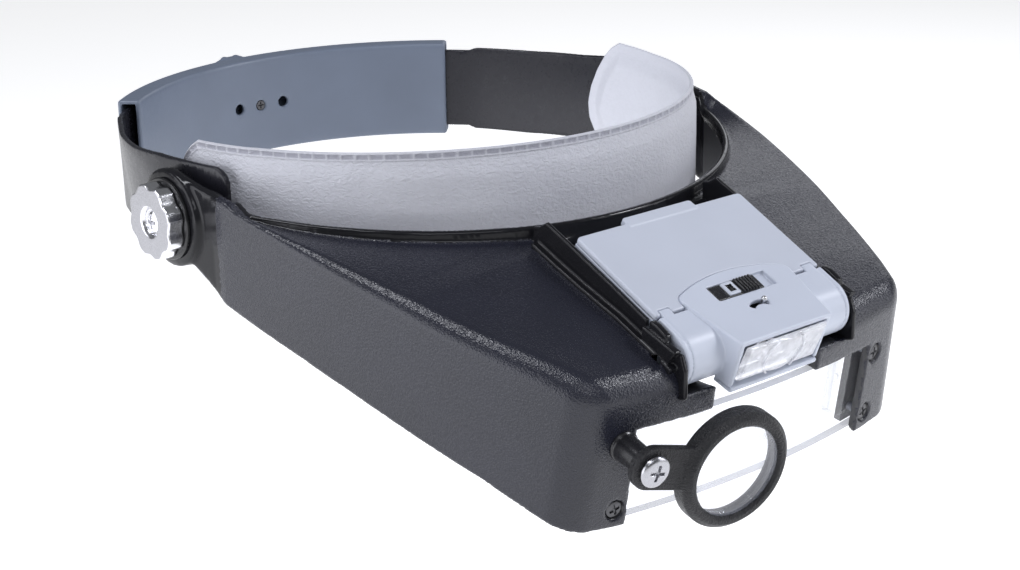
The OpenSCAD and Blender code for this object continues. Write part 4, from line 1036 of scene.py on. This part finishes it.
def loupe_f(p):
    x, y, z = p[:, 0], p[:, 1], p[:, 2]
    cx = np.clip(x, 0, 15)
    arm = np.sqrt((x - cx) ** 2 + y * y) - 5.7
    arm = inter(0.45, arm, slab(z, 0, 2.6))
    r = np.sqrt((x - 27) ** 2 + y * y)
    ring = inter(0.3, r - 16.2, slab(z, -1.4, 4.0), (r - 16.2 + z - 4.0 + 1.5) * 0.7071)
    b = sunion(0.5, arm, ring)
    b = cut(b, np.maximum(r - 12.3, 2.9 - z), 0.2)
    b = cut(b, np.maximum((12.3 - r) * -1 - 0.9 - (z - 4.0), 3.2 - z) * 0.7071, 0.15)
    b = cut(b, np.maximum(r - 13.0, slab(z, -3.0, 3.0)), 0.15)
    hole = np.sqrt(x * x + y * y)
    return cut(b, hole - 1.3, 0.1)
lr = local("loupe_ring", loupe_f, (-6, -16.5, -1.7), (43.5, 16.5, 4.3), 0.3, 0.45, M_LOUPE)
put(lr, M_LRING, "loupe", ["loupe_ring"], "black_plastic")
def dome(R, apex, r, sgn, n=22):
    """points of a spherical face from the rim to the middle"""
    out = []
    for k in range(n + 1):
        rr_ = r * (1 - k / n)
        out.append((rr_, apex - sgn * (R - math.sqrt(R * R - rr_ * rr_))))
    return out
lp = dome(55, 4.4, 12.93, 1)[::-1] + dome(40, -1.25, 12.93, -1)
ll = lathe("loupe_lens", lp, 120, closed=False)
ll.data.transform(M_LOUPE @ Matrix.Translation((27 * MM, 0, 0)))
put(ll, M_LOUPEG, "loupe", ["loupe_lens"], "clear_acrylic")
def lscrew_f(p):
    x, y, z = p[:, 0], p[:, 1], p[:, 2]
    r = np.sqrt(x * x + y * y)
    head = inter(0.3, r - 4.2, 3.1 - z, np.sqrt(r * r + (z + 8.6) ** 2) - 13.5, (r - 4.2 + z - 3.9) * 0.75)
    head = union(head, inter(0.1, r - 1.2, slab(z, -3, 3.4)))
    return cut(head, cross(x, y, z, 2.15, 0.42, 1.2, 4.9), 0.12)
ls_ = local("loupe_screw", lscrew_f, (-4.4, -4.4, -3.2), (4.4, 4.4, 5.2), 0.17, 0.5, M_LOUPE)
put(ls_, M_KFACE, "loupe", ["loupe_screw"], "knob_chrome")
def post_f(p):
    x, y, z = p[:, 0], p[:, 1], p[:, 2]
    r = np.sqrt(x * x + y * y)
    b = sunion(0.6, inter(0.3, r - 4.1, slab(z, -0.2, 0.5)), inter(0.3, r - 3.7 + 0.03 * z, slab(z, 0.1, 9.4)))
    b = union(b, inter(0.1, r - 1.15, slab(z, -6.6, 1)))
    return cut(b, np.maximum(r - 1.26, 4 - z), 0.1)
po = local("loupe_post", post_f, (-5, -5, -6.8), (5, 5, 9.7), 0.24, 0.5, M_POST)
put(po, M_BLACK, "visor", ["loupe_post"], "black_plastic")

# heads of the three lens screws, sunk in the face
def head_f(p):
    x, y, z = p[:, 0], p[:, 1], p[:, 2]
    r = np.sqrt(x * x + y * y)
    b = inter(0.3, r - 2.5, -1.1 - z, z + 0.18, np.sqrt(r * r + (z + 6.2) ** 2) - 6.05)
    b = union(b, inter(0.1, r - 1.15, slab(z, -6.5, -0.8)))
    return cut(b, cross(x, y, z, 1.5, 0.34, 0.7, -0.15), 0.1)
hs = []
for sx, sw in ((-47, -21.9), (47, -3.4), (47, -21.9)):
    a = math.asin(sx / 330.0)
    n_ = math.sin(a) * Xv - math.cos(a) * Dv
    x_ = math.cos(a) * Xv + math.sin(a) * Dv
    # a point on the bow
    q_ = np.array((0, -144.0, -33.9)) + sx * Xv + (330 - 330 * math.cos(a)) * Dv + sw * Wv
    tw = 20 * D2R if sw < -10 else 0
    x2, y2 = math.cos(tw) * x_ + math.sin(tw) * Wv, -math.sin(tw) * x_ + math.cos(tw) * Wv
    hs.append(local("h%d" % len(hs), head_f, (-2.7, -2.7, -6.6), (2.7, 2.7, 0.1), 0.17, 0.5, frame_m(q_, x2, y2, n_)))
hso = join("lens_screw_heads", hs)
put(hso, M_BSTEEL, "visor", ["lens_screws"], "black_steel")

# ---------------------------------------------------------------- light box, in its tilted frame (x, u up the slope, v normal)
bt = 25 * D2R
BU, BV = np.array((0, math.cos(bt), math.sin(bt))), np.array((0, -math.sin(bt), math.cos(bt)))
M_BOXF = frame_m((0, -137.5, -19.3), Xv, BU, BV)
BH, BL, BR_, SEAM = 29.9, 40.0, 7.6, -3.5
PLAN = [(-16.3, -11.6), (-20.3, 10.9)] + [(x_ * 1.015, 10.9 + 4.3 * (1 - x_ * x_ / 412)) for x_ in range(-20, 21, 4)] + [(20.3, 10.9), (16.3, -11.6)]
PLAN = np.array(PLAN)
def d_plan(x, u, r=2.2):
    """raised lamp housing from above, with its corners rounded"""
    ax_ = np.abs(x)
    side_ = (ax_ - interp(u, [-11.6, 10.9, 20], [16.3, 20.3, 21.0])) * 0.985
    back_ = (u - (10.9 + 4.3 * (1 - x * x / 412))) * 0.95
    return inter(r, side_, back_)
def barrel(p, v1, v2, u2, r_=7.6):
    x, u, v = p[:, 0], p[:, 1], p[:, 2]
    prof = np.where(u < 0, np.sqrt(u * u + v * v) - r_, np.abs(v) - r_)
    return prof, np.abs(x) - BH, slab(v, v1, v2), u - u2
def case_f(p):
    x, u, v = p[:, 0], p[:, 1], p[:, 2]
    ax_ = np.abs(x)
    pr, sd, sl, ub = barrel(p, -BR_, SEAM, 8)
    b = inter(0.45, pr, sd, v - SEAM, u - 9)
    rear = inter(0.9, sd, u - BL, -BR_ - v)
    rear = inter(0.35, rear, v - 5.7, 7.1 - u)
    b = union(b, rear)
    peg = inter(0.4, np.sqrt(u * u + v * v) - 3.6, slab(ax_, BH - 2, BH))
    pin = inter(0.3, np.sqrt(u * u + v * v) - 2.0, slab(ax_, 28.9, 31.7))
    b = union(b, peg, pin)
    cav = union(inter(0.6, ax_ - (BH - 1.6), slab(u, 14.8, BL - 1.6), -BR_ + 1.4 - v), inter(0.4, ax_ - (BH - 1.6), slab(u, 2, 13.4), -BR_ + 1.4 - v),
                np.maximum.reduce([np.sqrt(u * u + v * v) - (BR_ - 1.5), ax_ - (BH - 1.6), u - 3]))
    cu = np.where(x > 0, 20.6, 32.2)
    rib = np.maximum.reduce([slab(x, 23.15, 31.15), slab(u, 16.6, 24.6), v - 2])
    rib2 = np.maximum.reduce([slab(-x, 23.15, 31.15), slab(u, 28.2, 36.2), v - 2])
    sock = np.maximum(np.sqrt(x * x + (u + 3) ** 2) - 2.7, v + 2.8)
    cav = np.maximum(cav, -union(rib, rib2, sock))
    b = cut(b, cav)
    b = cut(b, np.maximum.reduce([ax_ - 17.6, slab(u, -12, -6), slab(v, -6.2, -0.2)]))
    b = cut(b, np.maximum(np.sqrt(x * x + (u + 3) ** 2) - 1.56, slab(v, -4.2, 0)))
    # a drawn line along each end, following the round barrel
    g = np.maximum(np.abs(np.where(u < 0, np.sqrt(u * u + v * v), np.abs(v)) - 5.9) - 0.16, BH - 0.3 - ax_)
    return cut(b, np.maximum(g, u - 2))
lc = local("light_box_case", case_f, (-33, -8, -8), (33, 40.3, 6), 0.42, 0.5, M_BOXF)
put(lc, M_BOX, "light_box", ["lamp_case"], "box_plastic")
def top_at(u):
    return 7.9 + (15 - u) * 0.0478
def hood_f(p):
    x, u, v = p[:, 0], p[:, 1], p[:, 2]
    ax_ = np.abs(x)
    prof = np.where(u < 0, np.sqrt(u * u + v * v) - BR_, v - BR_)
    shell = inter(0.55, prof, ax_ - BH)
    shell = inter(0.3, shell, SEAM + 0.05 - v, u - 6.9)
    # a narrow shallow groove sets off each end flange
    step = np.maximum.reduce([slab(ax_, 19.5, 28.2), -(prof + 0.45), v - 99])
    shell = cut(shell, np.maximum(slab(ax_, 28.05, 28.45), -(prof + 0.3)), 0.12)
    frontp = (-(u + 11.3) - (-(v + 4.6)) * 0.0964) * 0.995      # the window side leans back a little
    frontp = -(u + 11.3) + (v + 4.6) * -0.0968 * -1 * -1
    frontp = (-11.3 + 0.0968 * (v + 4.6)) - u
    w = inter(0.55, d_plan(x, u), v - top_at(u), frontp)
    w = np.maximum(w, -4.6 - v)
    w = np.maximum(w, -(np.maximum(SEAM + 0.05 - v, u + 6.3) ) * 0 + np.where(u > -6.3, SEAM + 0.05 - v, -9))
    b = sunion(0.35, shell, w)
    lug = inter(0.35, slab(ax_, 24.4, 28.1), slab(u, 6.0, 9.3), slab(v, 5.9, 7.62))
    b = union(b, lug)
    # hollow
    ip = np.where(u < 0, np.sqrt(u * u + v * v) - (BR_ - 1.5), -9.0)
    b = cut(b, np.maximum.reduce([ip, ax_ - (BH - 1.6), v - 5.75, u - 9]))
    b = cut(b, np.maximum.reduce([d_plan(x, u) + 1.4, v - (top_at(u) - 1.4), slab(u, -13, 5)]))
    b = cut(b, inter(0.25, ax_ - 14.9, slab(v, -3.2, 7.8), u + 8), 0.2)
    b = cut(b, np.maximum.reduce([ax_ - 25, 6.9 - u, v - 5.75]))
    b = cut(b, np.maximum(np.sqrt((u - 8.6) ** 2 + (v - 6.7) ** 2) - 0.55, slab(ax_, 26.5, 29)))
    pegr = np.maximum(np.sqrt(u * u + v * v) - 3.7, slab(ax_, BH - 2.2, BH + 0.5))
    b = cut(b, pegr)
    rec = inter(0.35, slab(x, -9.7, 11.4), slab(u, 5.6, 11.2), 7.05 - v)
    b = cut(b, rec, 0.15)
    b = cut(b, np.maximum.reduce([slab(x, -3.6, 5.3), slab(u, 7.3, 9.5), 4 - v]))
    rp = np.sqrt(x * x + (u + 3) ** 2); an = np.arctan2(x, u + 3) / D2R
    arc = inter(0.3, slab(rp, 3.65, 5.35), (np.abs(an) - 43) * D2R * 4.5)
    b = cut(b, np.maximum(arc, 4 - v), 0.18)
    return b
lh = local("light_box_hood", hood_f, (-30.2, -12.2, -4.8), (30.2, 15.6, 9.6), 0.36, 0.5, M_BOXF)
put(lh, M_BOX, "light_box", ["lamp_hood"], "box_plastic")
def cover_f(p):
    x, u, v = p[:, 0], p[:, 1], p[:, 2]
    ax_ = np.abs(x)
    edge = inter(1.2, ax_ - BH, u - BL)
    b = inter(0.5, edge, slab(v, 5.8, 7.6), 7.7 - u)
    b = cut(b, d_plan(x, u, 2.6) - 0.16, 0.3)
    tab = inter(1.0, ax_ - 12.6, u - (BL + 2.0))
    tab = inter(0.4, tab, slab(v, 5.8, 7.85), (BL - 1.6) - u)
    b = sunion(0.4, b, tab)
    hook = inter(0.2, slab(ax_, 25.0, 27.4), slab(u, 10.2, 11.8), slab(v, 4.7, 6.1))
    b = union(b, hook)
    n_ = inter(0.3, slab(ax_, 24.28, 28.22), slab(u, 5, 9.45))
    b = cut(b, n_, 0.2)
    pin = np.maximum(np.sqrt((u - 8.6) ** 2 + (v - 6.7) ** 2) - 0.5, slab(ax_, 27.2, 29.5))
    return union(b, pin)
bc = local("light_box_cover", cover_f, (-30.2, 7.4, 4.5), (30.2, 42.6, 8.4), 0.36, 0.5, M_BOXF)
put(bc, M_BOXC, "battery_cover", ["battery_cover"], "box_plastic")
def window_f(p):
    x, u, v = p[:, 0], p[:, 1], p[:, 2]
    b = inter(0.5, np.abs(x) - 14.75, slab(v, -3.1, 7.7), slab(u, -11.5, -10.1))
    b = inter(0.2, b, (np.abs(x) - 14.75 - (u + 10.6)) * 0.7071 + 0.1)
    r = np.sqrt(x * x + (v - 2.3) ** 2)
    bulge = inter(0.25, np.sqrt(r * r + (u - 2.1) ** 2) - 15.0, r - 7.0, u + 10.6, slab(v, -3.0, 7.6))
    rim = inter(0.15, slab(r, 6.5, 7.05), slab(u, -12.1, -11), slab(v, -3.0, 7.6))
    return union(b, bulge, rim)
lw = local("lamp_window", window_f, (-15, -13.2, -3.4), (15, -9.9, 8), 0.26, 0.5, M_BOXF)
put(lw, M_WIN, "light_box", ["lamp_window"], "clear_acrylic")
def sole_f(p):
    x, u, v = p[:, 0], p[:, 1], p[:, 2]
    b = inter(0.35, (np.abs(x) - interp(u, [-11.6, -6.2], [16.0, 16.8])), slab(u, -11.9, -6.2), slab(v, -6.0, -4.75))
    return cut(b, inter(0.3, np.abs(x) - 12, slab(u, -9.5, -7.9)), 0.1)
lo_ = local("lamp_sole", sole_f, (-17, -12.1, -6.2), (17, -6, -4.5), 0.28, 0.5, M_BOXF)
put(lo_, M_BOX, "light_box", ["lamp_sole"], "box_plastic")
def slider_f(p):
    x, u, v = p[:, 0], p[:, 1], p[:, 2]
    b = inter(0.2, slab(x, -9.5, 7.1), slab(u, 5.85, 10.95), slab(v, 7.1, 8.1))
    k = np.clip(np.round((x + 0.35) / 1.05), 0, 5)
    rib = inter(0.2, np.abs(x - (-0.35 + k * 1.05)) - 0.27, slab(u, 5.95, 10.85), slab(v, 7.6, 9.0))
    b = sunion(0.12, b, rib)
    fr = inter(0.2, slab(x, -5.5, -1.5), slab(u, 6.2, 10.6), slab(v, 7.6, 8.75))
    b = union(b, fr)
    b = cut(b, inter(0.15, slab(x, -4.5, -2.5), slab(u, 7.2, 9.6), 8.0 - v), 0.1)
    return union(b, inter(0.15, slab(x, -3.3, 1.1), slab(u, 7.5, 9.3), slab(v, 4.3, 7.4)))
sw = local("slide_switch", slider_f, (-9.8, 5.5, 4.1), (7.4, 11.3, 9.2), 0.2, 0.5, M_BOXF)
sw.data.materials.append(M_BLACK); sw.data.materials.append(M_BOXC)
cs = np.zeros(len(sw.data.polygons) * 3); sw.data.polygons.foreach_get("center", cs); cs = cs.reshape(-1, 3) / MM - np.array((0, -137.5, -19.3))
cu_, cv_ = cs @ BU, cs @ BV
inner_sq = (np.abs(cs[:, 0] + 3.5) < 1.05) & (np.abs(cu_ - 8.4) < 1.25)
sw.data.polygons.foreach_set("material_index", ((cv_ > 8.3) & (np.abs(cs[:, 0] + 3.5) < 2.1) & (np.abs(cu_ - 8.4) < 2.3) & ~inner_sq).astype(np.int32))
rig.ride(sw, "switch"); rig.replaces(sw, "switch_slider"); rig.slot(sw, "black_plastic")
# aiming pin with a rounded top, on its lever
def lever_f(p):
    x, y, z = p[:, 0], p[:, 1], p[:, 2]
    r = np.sqrt(x * x + y * y)
    b = inter(0.1, r - 1.5, slab(z, -4, 4.5))
    b = union(b, inter(0.15, np.abs(x) - 1.2, slab(y, 0, 5.2), slab(z, 3.3, 4.5)))
    pr_ = np.sqrt(x * x + (y - 4.5) ** 2)
    pin = inter(0.1, pr_ - 0.62, slab(z, 3.4, 9.2))
    ball = np.sqrt(pr_ ** 2 + ((z - 9.35) * 0.95) ** 2) - 0.82
    b = union(b, sunion(0.2, pin, ball))
    cl_ = np.maximum(inter(0.2, np.abs(x) - 3, np.abs(y) - 1, slab(z, -1.4, 3.0)), 0 * x - 9)
    b = union(b, cl_)
    bore = np.sqrt(x * x + (z - 0.8) ** 2)
    return cut(b, bore - 1.55)
tl = -22 * D2R
M_LEV = M_BOXF @ Matrix.Translation((0, -3 * MM, 0)) @ Matrix.Rotation(tl, 4, "Z")
lv = local("aim_lever", lever_f, (-3.2, -1.7, -4.2), (3.2, 5.6, 10.4), 0.2, 0.5, M_LEV)
put(lv, M_STEEL, "lamp", ["aim_lever"], "screw_steel")

# ------------------------------------------------------------------ finishes for the pieces kept from the CAD
def setmat(node, m):
    o = N[node]
    o.data.materials.clear(); o.data.materials.append(m)
for n_, m_ in {"size_pinion": M_PIN, "size_knob_screw": M_BSTEEL, "size_spring_washer": M_STEEL, "front_band": M_BLACK, "pivot_bolts": M_STEEL,
               "pivot_washers": M_BLACK, "main_lens": M_LENS, "lens_clamps": M_VIN, "flip_lens": M_FLIP, "flip_frame": M_FLIP,
               "loupe_washer": M_STEEL, "switch_body": M_BLACK, "lamp_reflector": M_CHROME, "lamp_led": M_LED, "battery_cells": M_CELL,
               "battery_contacts": M_STEEL, "battery_springs": M_STEEL}.items():
    setmat(n_, m_)
for n_, wdt in {"lens_clamps": 0.3, "flip_frame": 0.3, "front_band": 0.2, "flip_lens": 0.15, "main_lens": 0.12}.items():
    bv = N[n_].modifiers.new("edge", "BEVEL"); bv.width = wdt * MM; bv.segments = 2; bv.limit_method = "ANGLE"; bv.angle_limit = 0.6

# ------------------------------------------------------------------ floor, light
bm = bmesh.new()
bmesh.ops.create_grid(bm, x_segments=1, y_segments=1, size=6)
fm = bpy.data.meshes.new("floor"); bm.to_mesh(fm); bm.free()
floor = bpy.data.objects.new("floor", fm); scene.collection.objects.link(floor)
floor.location = (0, 0, -0.26)
m, nt, b = new_mat("floor_paint")
b.inputs["Base Color"].default_value = (0.93, 0.93, 0.93, 1)
b.inputs["Emission Color"].default_value = (1, 1, 1, 1)
b.inputs["Emission Strength"].default_value = 0.6
nt.links.new(ramp(nt, noise(nt, coords(nt, 1.0), 3.0, 2), [(0.3, 0.85), (0.7, 0.9)]), b.inputs["Roughness"])
floor.data.materials.append(m)
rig.stage(floor)
scene.view_settings.view_transform = "Standard"
scene.view_settings.look = "None"
w = bpy.data.worlds.new("w"); scene.world = w; w.use_nodes = True
w.node_tree.nodes["Background"].inputs[0].default_value = (0.93, 0.96, 1.0, 1)
w.node_tree.nodes["Background"].inputs[1].default_value = 0.16
def area(name, loc, tgt, size, power, col=(1, 1, 1)):
    l = bpy.data.lights.new(name, "AREA"); l.shape = "RECTANGLE"; l.size, l.size_y = size; l.energy = power; l.color = col
    o = bpy.data.objects.new(name, l); scene.collection.objects.link(o)
    o.location = loc
    o.rotation_euler = (Vector(tgt) - Vector(loc)).to_track_quat("-Z", "Y").to_euler()
    return o
def soft(name, loc, size, radiance, tgt=(0, -0.05, -0.02)):
    return area(name, loc, tgt, size, radiance * math.pi * size[0] * size[1], (0.925, 0.94, 1.0))
soft("left_tent", (-1.25, 0.25, 0.12), (1.5, 0.9), 2.5)
soft("right_tent", (1.25, 0.55, 0.55), (0.9, 0.5), 1.6)
soft("front_tent", (-0.55, -1.35, 0.95), (0.8, 0.6), 3.4)
soft("right_front", (0.95, -1.05, 0.32), (0.7, 0.6), 3.4)
# a row of five along the ridge, so that its fillet shines from the neck to the front
for k_ in range(5):
    soft("ridge_light_%d" % k_, (-0.50, 0.43 - 0.165 * k_, 1.13), (0.16, 0.16), 20.0)
soft("edge_light", (0.80, -0.64, 0.80), (0.22, 0.22), 38.0)

json.dump({"cad": [list(map(float, c)) for c in CAD_BOX], "visual": [list(map(float, c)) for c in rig.bounds()]}, open("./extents.json", "w"))
